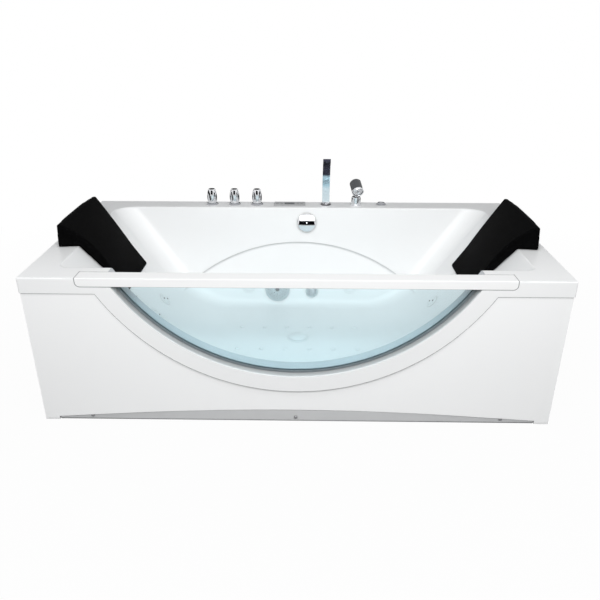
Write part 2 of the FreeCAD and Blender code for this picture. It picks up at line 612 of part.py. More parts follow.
def plinth():
    half = "(tub_length/2 - panel_side_inset - apron_foot - plinth_gap)"
    y = f"{FRONT} + plinth_setback"
    strip = box("plinth_blank", f"2*{half}", PLINTH_THICK, "2*apron_arch", (f"-{half}", y, "plinth_lift"))
    shape = common("plinth_shape", strip, arch_under("plinth_arch", "(apron_arch - panel_gap)"))
    seat = f"{PLINTH_THICK} + face_gap"
    top = f"{PLINTH_THICK} + bolt_head"
    bolts = []
    holes = []
    for i, x in enumerate(BOLTS):
        holes.append(cylinder(f"plinth_hole_{i}", "bolt_radius/2 + bolt_fit", "cut_deep",
                              (x, f"{FRONT} + cut_deep", "bolt_up"), *TO_FRONT))
        bolts.append(turned(f"plinth_bolt_{i}", [
            ("0", "0"), ("bolt_radius/2", "0"), ("bolt_radius/2", seat), ("bolt_radius", seat),
            ("bolt_radius", f"{top} - bolt_bevel"), ("bolt_radius - bolt_bevel", top), ("0", top)],
            (x, f"{y} + {PLINTH_THICK}", "bolt_up"), *TO_FRONT))
    keep(cut("plinth_strip", shape, group("plinth_holes", holes)))
    keep(group("plinth_bolts", bolts))


# ---------------------------------------------------------------- frame, board and feet

def support_frame():
    """Square tubes that butt against each other, posts, shelves and the plinth's brackets."""
    half = "(tub_length/2 - frame_inset)"
    reach = "(tub_width/2 - frame_inset)"
    tube = "frame_tube"
    between = f"({half} - {tube})"
    bars = []
    for sign in (-1, 1):
        bars.append(box(f"frame_long_{sign + 1}", f"2*{between}", tube, tube,
                        (f"-{between}", f"{sign}*rail_spread - {tube}/2", "frame_level")))
    for side in (-1, 1):
        end_x = f"{side}*({half} - {tube}/2) - {tube}/2"
        bars.append(box(f"frame_end_{side + 1}", tube, f"2*{reach}", tube,
                        (end_x, f"-{reach}", "frame_level")))
        inner = f"(rail_spread - {tube}/2)"
        bars.append(box(f"frame_cross_{side + 1}", tube, f"2*{inner}", tube,
                        (f"{side}*cross_half - {tube}/2", f"-{inner}", "frame_level")))
        for sign in (-1, 1):
            bars.append(box(f"frame_post_{side + 1}{sign + 1}", tube, tube,
                            f"rim_height - shell_wall - {BED}",
                            (end_x, f"{sign}*({reach} - {tube}/2) - {tube}/2", BED)))
        bars.append(box(f"frame_shelf_{side + 1}", "shelf_long", f"{reach} + rail_spread",
                        "shelf_thick", (f"{side}*{MACHINE_X} - shelf_long/2", f"-{reach}", BED)))
    front = f"{FRONT} + {PLINTH_BACK}"
    arm_long = f"tub_width/2 - rail_spread - {PLINTH_BACK} - {tube}/2"
    for i, x in enumerate(BOLTS):
        bars.append(box(f"frame_arm_{i}", tube, arm_long, "arm_thick",
                        (f"{x} - {tube}/2", front, f"{BED} - arm_thick")))
        tab = box(f"frame_tab_{i}", tube, "tab_thick", f"{BED} - arm_thick - tab_low",
                  (f"{x} - {tube}/2", front, "tab_low"))
        hole = cylinder(f"tab_hole_{i}", "bolt_radius/2 + bolt_fit", "cut_deep",
                        (x, f"{FRONT} + cut_deep", "bolt_up"), *TO_FRONT)
        bars.append(cut(f"frame_drilled_{i}", tab, hole))
    keep(group("support_frame", bars))


def feet():
    foot_list = []
    nuts = []
    for i, (x, y) in enumerate(foot_spots()):
        foot_list.append(turned(f"foot_{i}", [
            ("0", "0"), ("foot_radius", "0"), ("foot_radius", "foot_thick - foot_bevel"),
            ("foot_radius/2", "foot_thick"), ("stem_radius", "foot_thick + foot_bevel"),
            ("stem_radius", "frame_level"), ("0", "frame_level")], (x, y, "0")))
        nuts.append(turned(f"foot_nut_{i}", [
            ("stem_radius", "0"), ("nut_radius", "0"), ("nut_radius", "nut_tall"),
            ("stem_radius", "nut_tall")], (x, y, "frame_level - nut_tall")))
    keep(group("levelling_feet", foot_list))
    keep(group("foot_locknuts", nuts))


def base_board():
    top = "(floor_height - shell_wall)"
    low = f"{top} - cut_over - cut_over"
    plank = box("board_blank", "2*board_half", "2*rail_spread - board_short", "board_thick",
                ("-board_half", "-rail_spread", f"{top} - board_thick"))
    holes = [cylinder(f"board_hole_{i}", "air_radius + board_room", "cut_deep", (x, y, low))
             for i, (x, y, _) in enumerate(air_places())]
    holes.append(cylinder("board_waste_hole", "waste_flange + board_room", "cut_deep",
                          ("0", "waste_y", low)))
    keep(cut("base_board", plank, group("board_holes", holes)))


# ---------------------------------------------------------------- pillows

def pillow(end, side):
    """A wedge that sits on the end of the rim and follows the backrest down to a thin tip."""
    tip_low = (f"({DECK} - (opening_half - pillow_tip)*tan(backrest_angle)"
               " + pillow_seat/cos(backrest_angle))")
    seat = f"{DECK} + pillow_seat"
    ridge = f"{DECK} + pillow_ridge"
    body = doc.addObject("PartDesign::Body", f"{end}_pillow_body")
    sections = []
    shapes = (("0", "near_drop", "near_bow"), ("pillow_crown", "middle_drop", "middle_bow"),
              ("-pillow_crown", "far_drop", "far_bow"))
    for k, (crown, drop, bow) in enumerate(shapes):
        y = f"(pillow_near + {k}*(pillow_far - pillow_near)/2)"
        points = [
            (f"{side}*pillow_back", seat),
            (f"{side}*(opening_half - cut_past)", seat),
            (f"{side}*pillow_tip", tip_low),
            (f"{side}*pillow_tip", f"{tip_low} + pillow_lip + {crown}/2"),
            (f"{side}*(pillow_back - pillow_shoulder)", f"{DECK} - {drop} + {crown}"),
            (f"{side}*(pillow_back - ridge_flat - ridge_step)", f"{ridge} + {crown}"),
            (f"{side}*(pillow_back - ridge_step)", f"{ridge} - ridge_fall + {crown}")]
        sections.append(outline(body, f"{end}_pillow_section_{k}", "XZ_Plane", points,
                                {4: (bow, -side)}, f"-{y}"))
    loft = body.newObject("PartDesign::AdditiveLoft", f"{end}_pillow_loft")
    loft.Profile = sections[0]
    loft.Sections = sections[1:]
    slope_near = "(pillow_tip_near - pillow_near)/(pillow_back - pillow_tip)"
    slope_far = "(pillow_tip_far - pillow_far)/(pillow_back - pillow_tip)"
    corners = []
    for x in ("(pillow_back + cut_over)", "(pillow_tip - cut_over)"):
        run = f"(pillow_back - {x})"
        corners.append([(f"{side}*{x}", f"pillow_near + {slope_near}*{run}"),
                        (f"{side}*{x}", f"pillow_far + {slope_far}*{run}")])
    plan = prism(f"{end}_pillow_plan", "XY_Plane",
                 [corners[0][0], corners[0][1], corners[1][1], corners[1][0]], "2*rim_height")
    put(plan, ("0", "0", DECK))
    whole = common(f"{end}_pillow_whole", body, plan)
    slope = math.tan(math.radians(value("backrest_angle")))

    def top_edge(edge):
        """Any edge that is clear of the pillow's underside."""
        middle = edge.valueAt((edge.FirstParameter + edge.LastParameter) / 2)
        under = value(DECK) - (value("opening_half") - abs(middle.x)) * slope
        on_seat = abs(middle.z - value(seat)) < 10 * TOUCH
        return middle.z > under + value("pillow_lip/2") and not on_seat

    keep(rounded(f"{end}_pillow", whole, "pillow_round", top_edge))
    studs = [cylinder(f"{end}_stud_{sign + 1}", "stud_radius", "stud_deep + pillow_seat",
                      (f"{side}*stud_x", stud_y(sign), f"{DECK} - stud_deep")) for sign in (-1, 1)]
    keep(group(f"{end}_pillow_studs", studs))


# ---------------------------------------------------------------- fittings in the well

def jets():
    """Housings behind the shell, and the discs that the water turns."""
    bore = "(spindle_radius + run_clear)"
    body = "jet_radius - jet_fit"
    lip = "rotor_radius + rotor_gap"
    low = "spindle_clear - jet_length"
    housings = []
    for i, (name, spot, axis, angle) in enumerate(jet_places()):
        housings.append(turned(f"jet_housing_{i}", [
            (bore, "-jet_length"), (body, "-jet_length"), (body, "0"), ("jet_flange", "0"),
            ("jet_flange", "flange_edge"), ("jet_flange - flange_bevel", "flange_tall"),
            (lip, "flange_tall"), (lip, "rotor_gap"), (bore, "rotor_gap")], spot, axis, angle))
        disc = turned(f"rotor_disc_{i}", [
            ("0", low), ("spindle_radius", low), ("spindle_radius", "rotor_low"),
            ("rotor_radius", "rotor_low"), ("rotor_radius", "flange_tall"),
            ("rotor_radius - small_bevel", "rotor_rise - rotor_low"), ("0", "rotor_rise")])
        turn = {"left": "nozzle_turn", "right": "(-nozzle_turn)"}.get(name.split("_")[0], "0")
        nozzles = [cylinder(f"nozzle_{i}_{sign + 1}", "nozzle_radius", "cut_over",
                            (f"{sign}*nozzle_spread*cos({turn})", f"{sign}*nozzle_spread*sin({turn})",
                             "-cut_over/4")) for sign in (-1, 1)]
        rotor = cut(f"rotor_{i}", disc, group(f"nozzles_{i}", nozzles))
        keep(put(rotor, spot, axis, angle), name)
    return housings


def wall_fittings(housings):
    """The jets' housings, the suction body and the lamp body, each behind the shell."""
    lip = "(suction_radius - suction_rim)"
    housings.append(turned("suction_body", [
        ("suction_throat", "-suction_tail"), (SUCTION_TUBE, "-suction_tail"), (SUCTION_TUBE, "0"),
        (lip, "0"), (lip, "flange_tall"), ("suction_throat", "flange_tall")], SUCTION, *FAR_WALL))
    housings.append(turned("lamp_body", [
        ("0", "-lamp_deep"), ("lens_radius", "-lamp_deep"), ("lens_radius", "-lens_seat"),
        ("0", "-lens_seat")], LAMP, *FAR_WALL))
    keep(group("wall_fittings", housings))


def suction():
    """Domed cover with rings of slots, held by one screw in its middle."""
    deep = "suction_deep"
    edge = "(suction_radius - suction_rim + face_gap)"
    seat = "flange_tall + face_gap"
    sink = f"{deep} - screw_sink"
    dome = turned("suction_dome", [
        ("screw_radius + face_gap", seat), (edge, seat), (edge, "face_gap"),
        ("suction_radius", "face_gap"), ("suction_radius", "suction_rim"),
        ("suction_radius - 1.5*suction_rim", f"{deep} - suction_rim/2"), ("2*screw_head", deep),
        ("screw_head + thin_edge", deep), ("screw_head + thin_edge", sink),
        ("screw_radius + face_gap", sink)])
    slots = []
    for ring, (count, away) in enumerate(SLOT_RINGS):
        for k in range(count):
            angle = f"{k}*360/{count} + {ring}*slot_turn"
            slots.append(cylinder(f"suction_slot_{ring}_{k}", "slot_radius", "2*cut_over",
                                  (f"{away}*cos({angle})", f"{away}*sin({angle})", "-cut_past")))
    cover = cut("suction_cover", dome, group("suction_slots", slots))
    keep(put(cover, SUCTION, *FAR_WALL))
    top = f"{deep} + screw_proud"
    keep(turned("suction_screw", [
        ("0", seat), ("screw_radius", seat), ("screw_radius", f"{sink} + face_gap"),
        ("screw_head", f"{sink} + face_gap"), ("screw_head", f"{deep} - thin_edge"),
        ("screw_head - small_bevel", top), ("0", top)], SUCTION, *FAR_WALL))


def lamp():
    bore = "lens_radius + face_gap"
    keep(turned("lamp_ring", [
        (bore, "0"), ("lamp_radius", "0"), ("lamp_radius", "lamp_tall - lamp_bevel"),
        ("lamp_radius - lamp_bevel", "lamp_tall"), (bore, "lamp_tall")], LAMP, *FAR_WALL))
    keep(turned("lamp_lens", [
        ("0", "-lens_seat"), ("lens_radius", "-lens_seat"), ("lens_radius", "lens_edge"),
        ("lens_radius/2", "lens_rise - thin_edge"), ("0", "lens_rise")], LAMP, *FAR_WALL))


def air_jets():
    low = "(air_run_level + air_pipe - floor_height)"
    jets_list = [turned(f"air_jet_{i}", [
        ("0", low), ("air_shank", low), ("air_shank", "0"), ("air_radius", "0"),
        ("air_radius", "thin_edge"), ("air_radius - small_bevel", "air_rise - air_bevel"),
        ("0", "air_rise")], spot)
        for i, spot in enumerate(air_places())]
    keep(group("air_jets", jets_list))


def drain():
    """Flange in the floor with a three-armed guide, and the cover that lifts in it."""
    hub = "(plug_stem + run_clear)"
    low = "-waste_deep"
    shank = "(waste_bore + pipe_wall - waste_fit)"
    ring = turned("waste_ring", [
        ("waste_bore", low), (shank, low), (shank, "0"), ("waste_flange", "0"),
        ("waste_flange", "thin_edge"), ("waste_flange - small_bevel", "waste_rise"),
        ("waste_bore", "waste_rise")])
    guide_top = f"(spider_tall + {low})"
    guide = turned("waste_hub", [
        (hub, low), ("plug_stem + spider_hub", low), ("plug_stem + spider_hub", guide_top),
        (hub, guide_top)])
    arms = []
    inner = "(plug_stem + spider_hub/2)"
    for k in range(3):
        arm = box(f"waste_arm_{k}", "waste_bore - plug_stem - cut_past", "spider_arm",
                  "spider_tall/2", ("0", "0", low))
        arm.Placement.Rotation = Rotation(Z_AXIS, 120 * k)
        turn = f"({120 * k})"
        arms.append(put(arm, (f"{inner}*cos{turn} + spider_arm/2*sin{turn}",
                              f"{inner}*sin{turn} - spider_arm/2*cos{turn}", low)))
    keep(put(fuse("drain_flange", [ring, guide] + arms), WASTE))
    rim_low = "waste_rise + lift_gap"
    keep(turned("drain_plug", [
        ("0", f"{low} - waste_drop"), ("plug_stem", f"{low} - waste_drop"),
        ("plug_stem", "-spider_tall/2"), ("plug_cone", "-wide_bevel"), ("plug_cone", rim_low),
        ("plug_radius", rim_low), ("plug_radius", f"{rim_low} + plug_edge"),
        ("plug_radius/2", "plug_rise - small_bevel"), ("0", "plug_rise")], WASTE))


def waste_trap():
    """Cup under the floor with its water seal, and the outlet to the wall side."""
    cup_top = "(floor_height - shell_wall - cut_past)"
    side = "(waste_bore + trap_wall)"
    neck = "(waste_bore + pipe_wall)"
    seat = "floor_height - waste_deep - waste_fit"
    middle = "(trap_low + trap_floor + trap_low)"
    cup = turned("trap_cup", [
        ("waste_bore", f"{middle} - wall_lap"), (side, f"{middle} - wall_lap"),
        (side, f"{cup_top} - trap_flange"), ("waste_flange", f"{cup_top} - trap_flange"),
        ("waste_flange", cup_top), (neck, cup_top), (neck, seat), ("waste_bore", seat)],
        ("0", "waste_y", "0"))
    base = cylinder("trap_base", side, "trap_floor", ("0", "waste_y", "trap_low"))
    bowl = turned("trap_bowl", [
        (f"{side} - pipe_wall", "trap_low"), (side, "trap_low"), (side, middle),
        (f"{side} - pipe_wall", middle)], ("0", "waste_y", "0"))
    start = "(waste_y + waste_bore)"
    outlet = cylinder("trap_outlet", "outlet_radius", f"{OUTLET_END} - {start}",
                      ("0", OUTLET_END, "waste_level"), *TO_FRONT)
    lumen = cylinder("trap_lumen", "outlet_radius - pipe_wall", f"{OUTLET_END} - {start} + cut_deep/2",
                     ("0", f"{OUTLET_END} + cut_past", "waste_level"), *TO_FRONT)
    collar = cylinder("trap_collar", "outlet_radius + collar_rise", "collar_thick",
                      ("0", f"{OUTLET_END} - outlet_spigot", "waste_level"), *TO_FRONT)
    keep(cut("waste_trap", fuse("trap_body", [cup, base, bowl, outlet, collar]), lumen))


def overflow_pipe():
    """The pipe from the overflow straight down, then slanting on to the outlet's top."""
    x, y = value("overflow_x"), value(PIPE_Y)
    run = doc.addObject("Part::Feature", "overflow_run")
    run.Shape = pipe_run([Vector(x, y, value("overflow_z - socket_deep")),
                          Vector(x, y, value("overflow_turn_z")),
                          Vector(0, value(f"{BACK} - overflow_joint"), value("waste_level"))],
                         value("overflow_pipe"))
    saddle = cylinder("overflow_saddle", "outlet_radius", "tub_width", ("0", BACK, "waste_level"),
                      *TO_FRONT)
    keep(cut("overflow_pipe", run, saddle))


def overflow():
    """Body behind the shell with a socket for the pipe, and the knob that works the plug."""
    bore = "(spindle_radius + run_clear)"
    body = turned("overflow_cup", [
        (bore, "-overflow_deep"), ("overflow_hub", "-overflow_deep"), ("overflow_hub", "0"),
        ("overflow_radius - socket_wall - overflow_rise", "0"),
        ("overflow_radius - socket_wall - overflow_rise", "overflow_rise"), (bore, "overflow_rise")])
    put(body, OVERFLOW, *FAR_WALL)
    low = "(overflow_z - socket_deep - socket_lap)"
    socket = cylinder("overflow_socket", "overflow_pipe + socket_wall", "cut_deep",
                      ("overflow_x", PIPE_Y, low))
    seat = cylinder("overflow_seat", "overflow_pipe", "cut_over",
                    ("overflow_x", PIPE_Y, f"{low} + socket_lap - cut_over"))
    neck = cylinder("overflow_neck", "overflow_pipe - neck_slim", f"{PIPE_Y} - {OVERFLOW[1]} - cut_over",
                    ("overflow_x", PIPE_Y, "overflow_z - neck_drop"), *TO_FRONT)
    keep(cut("overflow_body", fuse("overflow_whole", [body, neck, socket]), seat))
    gap = "overflow_rise + lift_gap"
    hub = "(overflow_radius - overflow_step)"
    rim = "(overflow_radius - overflow_edge)"
    dome_low = f"(overflow_face - overflow_dome + sqrt(overflow_dome^2 - {rim}^2))"
    keep(turned("overflow_knob", [
        ("0", "-overflow_stem"), ("spindle_radius", "-overflow_stem"), ("spindle_radius", gap),
        (hub, gap), (hub, "overflow_stand"), ("overflow_radius", "overflow_stand"),
        ("overflow_radius", f"{dome_low} - overflow_edge"), (rim, dome_low), ("0", "overflow_face")],
        OVERFLOW, *FAR_WALL, arcs={7: ("overflow_dome", 1)}))


# ---------------------------------------------------------------- fittings on the deck

def valves():
    flanges = []
    bodies = []
    bore = "(spindle_radius + run_clear)"
    bottom = "(-shell_wall - valve_deep)"
    shank = "(deck_shank - bolt_fit)"
    chamber = "-chamber_deep"
    gap = "valve_rise + lift_gap"
    for i, (name, spot) in enumerate(zip(("hot_knob", "diverter_knob", "cold_knob"), VALVES)):
        flanges.append(turned(f"valve_flange_{i}", [
            (bore, "0"), ("valve_flange", "0"), ("valve_flange", "small_bevel"),
            ("valve_flange - wide_bevel", "valve_rise"), (bore, "valve_rise")], spot))
        body = turned(f"valve_cup_{i}", [
            ("spindle_radius", bottom), ("valve_body", bottom), ("valve_body", "-shell_wall"),
            (shank, "-shell_wall"), (shank, "0"), (bore, "0"), (bore, chamber),
            ("spindle_radius", chamber)], spot)
        if name != "diverter_knob":
            tail_low, tail_top = f"{bottom} - inlet_reach", f"{bottom} + wall_lap"
            tail = turned(f"valve_tail_{i}", [
                ("spindle_radius", tail_low), ("inlet_radius", tail_low),
                ("inlet_radius", tail_top), ("spindle_radius", tail_top)], spot)
            body = fuse(f"valve_inlet_{i}", [body, tail])
        bodies.append(body)
        stem = f"{chamber} + spindle_clear"
        keep(turned(name, [
            ("0", stem), ("spindle_radius", stem), ("spindle_radius", gap), ("knob_foot", gap),
            ("knob_top", "valve_tall - knob_edge"), ("knob_top - knob_edge", "valve_tall"),
            ("0", "valve_tall")], spot, arcs={3: ("knob_curve", 1)}))
    keep(group("valve_flanges", flanges))
    keep(group("valve_bodies", bodies))


def spout():
    """A flat blade that stands on its foot and curves over the well."""
    stand = f"{DECK} + spout_stand"
    foot = f"{DECK} + spout_edge + cut_past"
    half = "spout_thick/2"
    outer = f"(spout_bend + {half})"
    inner = f"(spout_bend - {half})"
    middle = f"({DECK_Y} - spout_bend)"
    blade = prism("spout_blade", "YZ_Plane", [
        (f"{DECK_Y} - {half}", foot), (f"{DECK_Y} + {half}", foot), (f"{DECK_Y} + {half}", stand),
        (f"{middle} + {outer}*cos(spout_turn)", f"{stand} + {outer}*sin(spout_turn)"),
        (f"{middle} + {inner}*cos(spout_turn)", f"{stand} + {inner}*sin(spout_turn)"),
        (f"{DECK_Y} - {half}", stand)], "spout_wide", {2: (outer, 1), 4: (inner, -1)})
    put(blade, ("spout_x", "0", "0"))
    base = turned("spout_foot", [
        ("0", "-cut_deep"), ("spout_shank", "-cut_deep"), ("spout_shank", "0"), ("spout_base", "0"),
        ("spout_base", "spout_edge"), ("spout_base - wide_bevel", "spout_foot_tall"),
        ("0", "spout_foot_tall")],
        SPOUT)
    keep(fuse("spout", [blade, base]))


def shower():
    """Holder in the deck, and a hand shower that lifts out of it."""
    fit = "(handle_radius + handle_fit)"
    shank = "(handle_radius + holder_wall)"
    keep(turned("shower_holder", [
        (fit, "-holder_deep"), (shank, "-holder_deep"), (shank, "0"),
        ("handle_radius + holder_flange", "0"), ("handle_radius + holder_flange", "holder_wall"),
        ("holder_radius", "holder_wall + thin_edge"), ("holder_radius", "holder_tall - small_bevel"),
        ("holder_radius - small_bevel", "holder_tall"), (fit, "holder_tall")], SHOWER))
    handle = turned("shower_handle", [
        ("0", "-handle_sink"), ("handle_radius", "-handle_sink"),
        ("handle_radius", "handle_tall - handle_taper"), ("0", "handle_tall - wide_bevel")], SHOWER)
    face = "(head_radius - face_inset)"
    head = turned("shower_head", [
        ("0", "0"), ("head_radius - wide_bevel", "0"), ("head_radius", "face_inset"),
        ("head_radius", "head_long - head_bevel"), ("head_radius - head_bevel", "head_long"),
        (face, "head_long"), (face, "head_long - face_deep"), ("0", "head_long - face_deep")],
        ("shower_x - head_left", f"{DECK_Y} + head_back", f"{DECK} + head_up"),
        HEAD_AXIS, "head_pitch")
    keep(fuse("hand_shower", [handle, head]))


def air_regulator():
    bore = "(spindle_radius + run_clear)"
    stem = "-air_stem"
    gap = "air_knob_stand + lift_gap"
    keep(turned("air_regulator_knob", [
        ("0", stem), ("spindle_radius", stem), ("spindle_radius", gap), ("air_knob_radius", gap),
        ("air_knob_radius", "air_knob_edge"),
        ("air_knob_radius - air_knob_edge", "air_knob_tall - small_bevel"),
        ("0", "air_knob_tall")], AIR_KNOB))
    rim = "air_knob_radius + air_knob_stand"
    keep(turned("air_regulator_body", [
        (bore, "-air_body_deep"), ("air_body_radius", "-air_body_deep"), ("air_body_radius", "0"),
        (rim, "0"), (rim, "air_knob_stand"), (bore, "air_knob_stand")], AIR_KNOB))


def control_panel():
    """A low panel with a display in its middle and two buttons on each side."""
    plate = box("panel_plate_top", "panel_wide", "panel_deep", "panel_proud",
                ("panel_x - panel_wide/2", f"{DECK_Y} - panel_deep/2", DECK))

    def upper(edge):
        return edge.BoundBox.ZLength > 1 or edge.BoundBox.ZMin > value(DECK) + 1

    soft = rounded("panel_top", plate, "panel_round", upper)
    margin = "(panel_margin + seat_fit)"
    tray = box("panel_tray", f"panel_wide - 2*{margin}", f"panel_deep - 2*{margin}", "panel_sink",
               (f"panel_x - panel_wide/2 + {margin}", f"{DECK_Y} - panel_deep/2 + {margin}",
                f"{DECK} - panel_sink"))
    corner = ("panel_x - display_wide/2", f"{DECK_Y} - display_deep/2", f"{DECK} + pocket_floor")
    tools = [box("panel_pocket", "display_wide", "display_deep", "panel_proud", corner)]
    buttons = []
    low = "panel_proud - button_travel - button_clear"
    top = "panel_proud + button_proud"
    for k, x in enumerate(("-button_outer", "-button_inner", "button_inner", "button_outer"), start=1):
        spot = (f"panel_x + {x}", DECK_Y, DECK)
        tools.append(cylinder(f"button_well_{k}", "button_radius + button_gap", "cut_over",
                              (spot[0], spot[1], f"{DECK} + cut_past")))
        tools.append(cylinder(f"button_guide_{k}", "button_stem + run_clear", "cut_over",
                              (spot[0], spot[1], f"{DECK} - button_deep - button_stem")))
        buttons.append(turned(f"panel_button_{k}", [
            ("0", "-button_deep"), ("button_stem", "-button_deep"), ("button_stem", low),
            ("button_radius", low), ("button_radius", f"{top} - button_bevel"),
            ("button_radius - button_bevel", top), ("0", top)], spot))
    keep(cut("control_panel", fuse("panel_whole", [soft, tray]), group("panel_tools", tools)))
    keep(box("panel_display", "display_wide", "display_deep",
             "panel_proud - pocket_floor - display_sink", corner))
    for button in buttons:
        keep(button)


# ---------------------------------------------------------------- machinery

def pump():
    """Finned motor on its cradle, and the wet end with its inlet towards the wall side."""
    motor_end = "pump_y + motor_long/2"
    core = cylinder("motor_core", "motor_radius", "motor_long", (MACHINE_X, motor_end, AXLE), *TO_FRONT)
    fins = [cylinder(f"motor_fin_{k}", "motor_radius + fin_rise", "fin_thick",
                     (MACHINE_X, f"{motor_end} - fin_first - {k}*fin_pitch", AXLE), *TO_FRONT)
            for k in range(FINS)]
    cradle = box("motor_cradle", "cradle_wide", "motor_long - cradle_short",
                 "volute_radius + volute_lift - motor_radius/2",
                 (f"{MACHINE_X} - cradle_wide/2", "pump_y - motor_long/2 + cradle_short/2", SHELF))
    keep(fuse("pump_motor", [core, cradle] + fins))
    volute = cylinder("pump_volute", "volute_radius", "volute_wide", (MACHINE_X, PUMP_FACE, AXLE),
                      *TO_FRONT)
    inlet = cylinder("pump_inlet", "suction_pipe + port_wall", "inlet_long + cut_past",
                     (MACHINE_X, f"{PUMP_FACE} + inlet_long", AXLE), *TO_FRONT)
    outlet = cylinder("pump_outlet", "water_pipe + port_wall", "outlet_tall",
                      (f"{MACHINE_X} + {OUTLET_AWAY}", f"{PUMP_FACE} - volute_wide/2", AXLE))
    lug = box("pump_lug", "lug_wide", "volute_wide - lug_short", "lug_tall",
              (f"{MACHINE_X} - lug_wide/2", f"{PUMP_FACE} - volute_wide + lug_short/2", SHELF))
    keep(fuse("pump_wet_end", [volute, inlet, outlet, lug]))


def blower():
    """Drum with a narrower cap, and the spigot that feeds the air main."""
    foot = "(blower_radius - drum_foot)"
    cap = "(blower_radius - drum_cap)"
    drum = turned("blower_drum", [
        ("0", "0"), (foot, "0"), (foot, "drum_lift"), ("blower_radius", "drum_flare"),
        ("blower_radius", "blower_tall - drum_shoulder"), (cap, "blower_tall - drum_neck"),
        (cap, "blower_tall - drum_rim"), (f"{cap} - drum_bevel", "blower_tall"),
        ("0", "blower_tall")], BLOWER)
    spigot = cylinder("blower_spigot", "air_pipe + spigot_wall", "spigot_long + drum_foot",
                      (f"{BLOWER[0]} + {foot}", BLOWER[1], f"{SHELF} + spigot_up"), Y_AXIS, "90")
    keep(fuse("air_blower", [drum, spigot]))


def control_box():
    """Switch box with the mains gland in its wall-side face."""
    face = "(rail_spread - box_inset)"
    centre = (f"-{MACHINE_X}", face, f"{SHELF} + box_tall/2")
    wall = "gland_bore + gland_wall"
    gland = turned("gland", [
        ("gland_bore", "-cut_past"), (wall, "-cut_past"), (wall, "gland_long - gland_bevel"),
        (f"{wall} - gland_bevel/2", "gland_long"), ("gland_bore", "gland_long")], centre, X_AXIS, "-90")
    case = box("box_case", "box_wide", "box_deep", "box_tall",
               (f"-{MACHINE_X} - box_wide/2", f"{face} - box_deep", SHELF))
    soft = rounded("box_soft", case, "box_round", lambda edge: edge.BoundBox.ZLength > 1)
    hole = cylinder("gland_hole", "gland_bore", "cut_over + gland_long/2 + cut_past",
                    (centre[0], f"{face} + gland_long/2 + cut_past", centre[2]), *TO_FRONT)
    keep(cut("control_box", fuse("box_whole", [soft, gland]), hole))


# ---------------------------------------------------------------- pipes

def pipe_run(points, radius):
    """A round pipe along straight runs joined by tangent bends."""
    edges = []
    start = points[0]
    for before, corner, after in zip(points, points[1:], points[2:]):
        arrive = (corner - before).normalize()
        leave = (after - corner).normalize()
        bend = BEND_RATIO * radius
        tangent = bend * math.tan(arrive.getAngle(leave) / 2)
        first, last = corner - arrive * tangent, corner + leave * tangent
        across = (leave - arrive * arrive.dot(leave)).normalize()
        centre = first + across * bend
        middle = centre + (corner - centre).normalize() * bend
        edges += [Part.makeLine(start, first), Part.Arc(first, middle, last).toShape()]
        start = last
    edges.append(Part.makeLine(start, points[-1]))
    toward = (points[1] - points[0]).normalize()
    ring = Part.Wire(Part.makeCircle(radius, points[0], toward))
    return Part.Wire(edges).makePipeShell([ring], True, False)


def point(x, y, z):
    return Vector(value(x), value(y), value(z))


def spot_and_way(spot, axis, angle, behind):
    """A point behind a fitting, and the way that its tail points."""
    way = Rotation(axis, value(angle)).multVec(Vector(0, 0, -1))
    return point(*spot) + way * value(behind), way


def suction_lines():
    """From the suction body along the wall side, then forward to the pump."""
    radius = value("suction_pipe")
    run_y = value(f"{BACK} - suction_inset")
    tail, way = spot_and_way(SUCTION, *FAR_WALL, "suction_tail")
    behind = tail + way * ((run_y - tail.y) / way.y)
    corner = Vector(value(MACHINE_X), run_y, value(AXLE))
    inlet = point(MACHINE_X, f"{PUMP_FACE} + inlet_long", AXLE)
    elbow = corner - Vector(0, 2 * radius, 0)
    return [pipe_run([tail, behind, corner, elbow], radius), pipe_run([elbow, inlet], radius)]


def pressure_lines():
    """The main round the wall side from end to end, and a hose to each jet."""
    hose, main = value("hose_radius"), value("water_pipe")
    arm = value(f"{MACHINE_X} + {OUTLET_AWAY}")
    back_run = value(f"{BACK} - main_inset")
    level = value("main_level")
    outlet = point(f"{MACHINE_X} + {OUTLET_AWAY}", f"{PUMP_FACE} - volute_wide/2", f"{AXLE} + outlet_tall")
    elbow = Vector(0, 2 * main, 0)
    right = Vector(arm, back_run, level)
    left = Vector(-arm, back_run, level)
    last = Vector(-arm, value("jet_middle - upper_spread") - 2 * main, level)
    runs = [pipe_run([outlet, Vector(arm, outlet.y, level), right - elbow], main),
            pipe_run([right - elbow, right, left, left - elbow], main),
            pipe_run([left - elbow, last], main)]
    hoses = []
    for name, spot, axis, angle in jet_places():
        tail, way = spot_and_way(spot, axis, angle, "jet_length")
        if name.startswith("back"):
            joint = Vector(tail.x, back_run, level)
            reach = value("wall_hose_reach")
        else:
            joint = Vector(math.copysign(arm, tail.x), tail.y, level)
            reach = value("end_hose_reach")
        whole = pipe_run([tail, tail + way * reach, joint], hose)
        hoses.append(whole.cut(runs).Solids[0])
    return runs + hoses


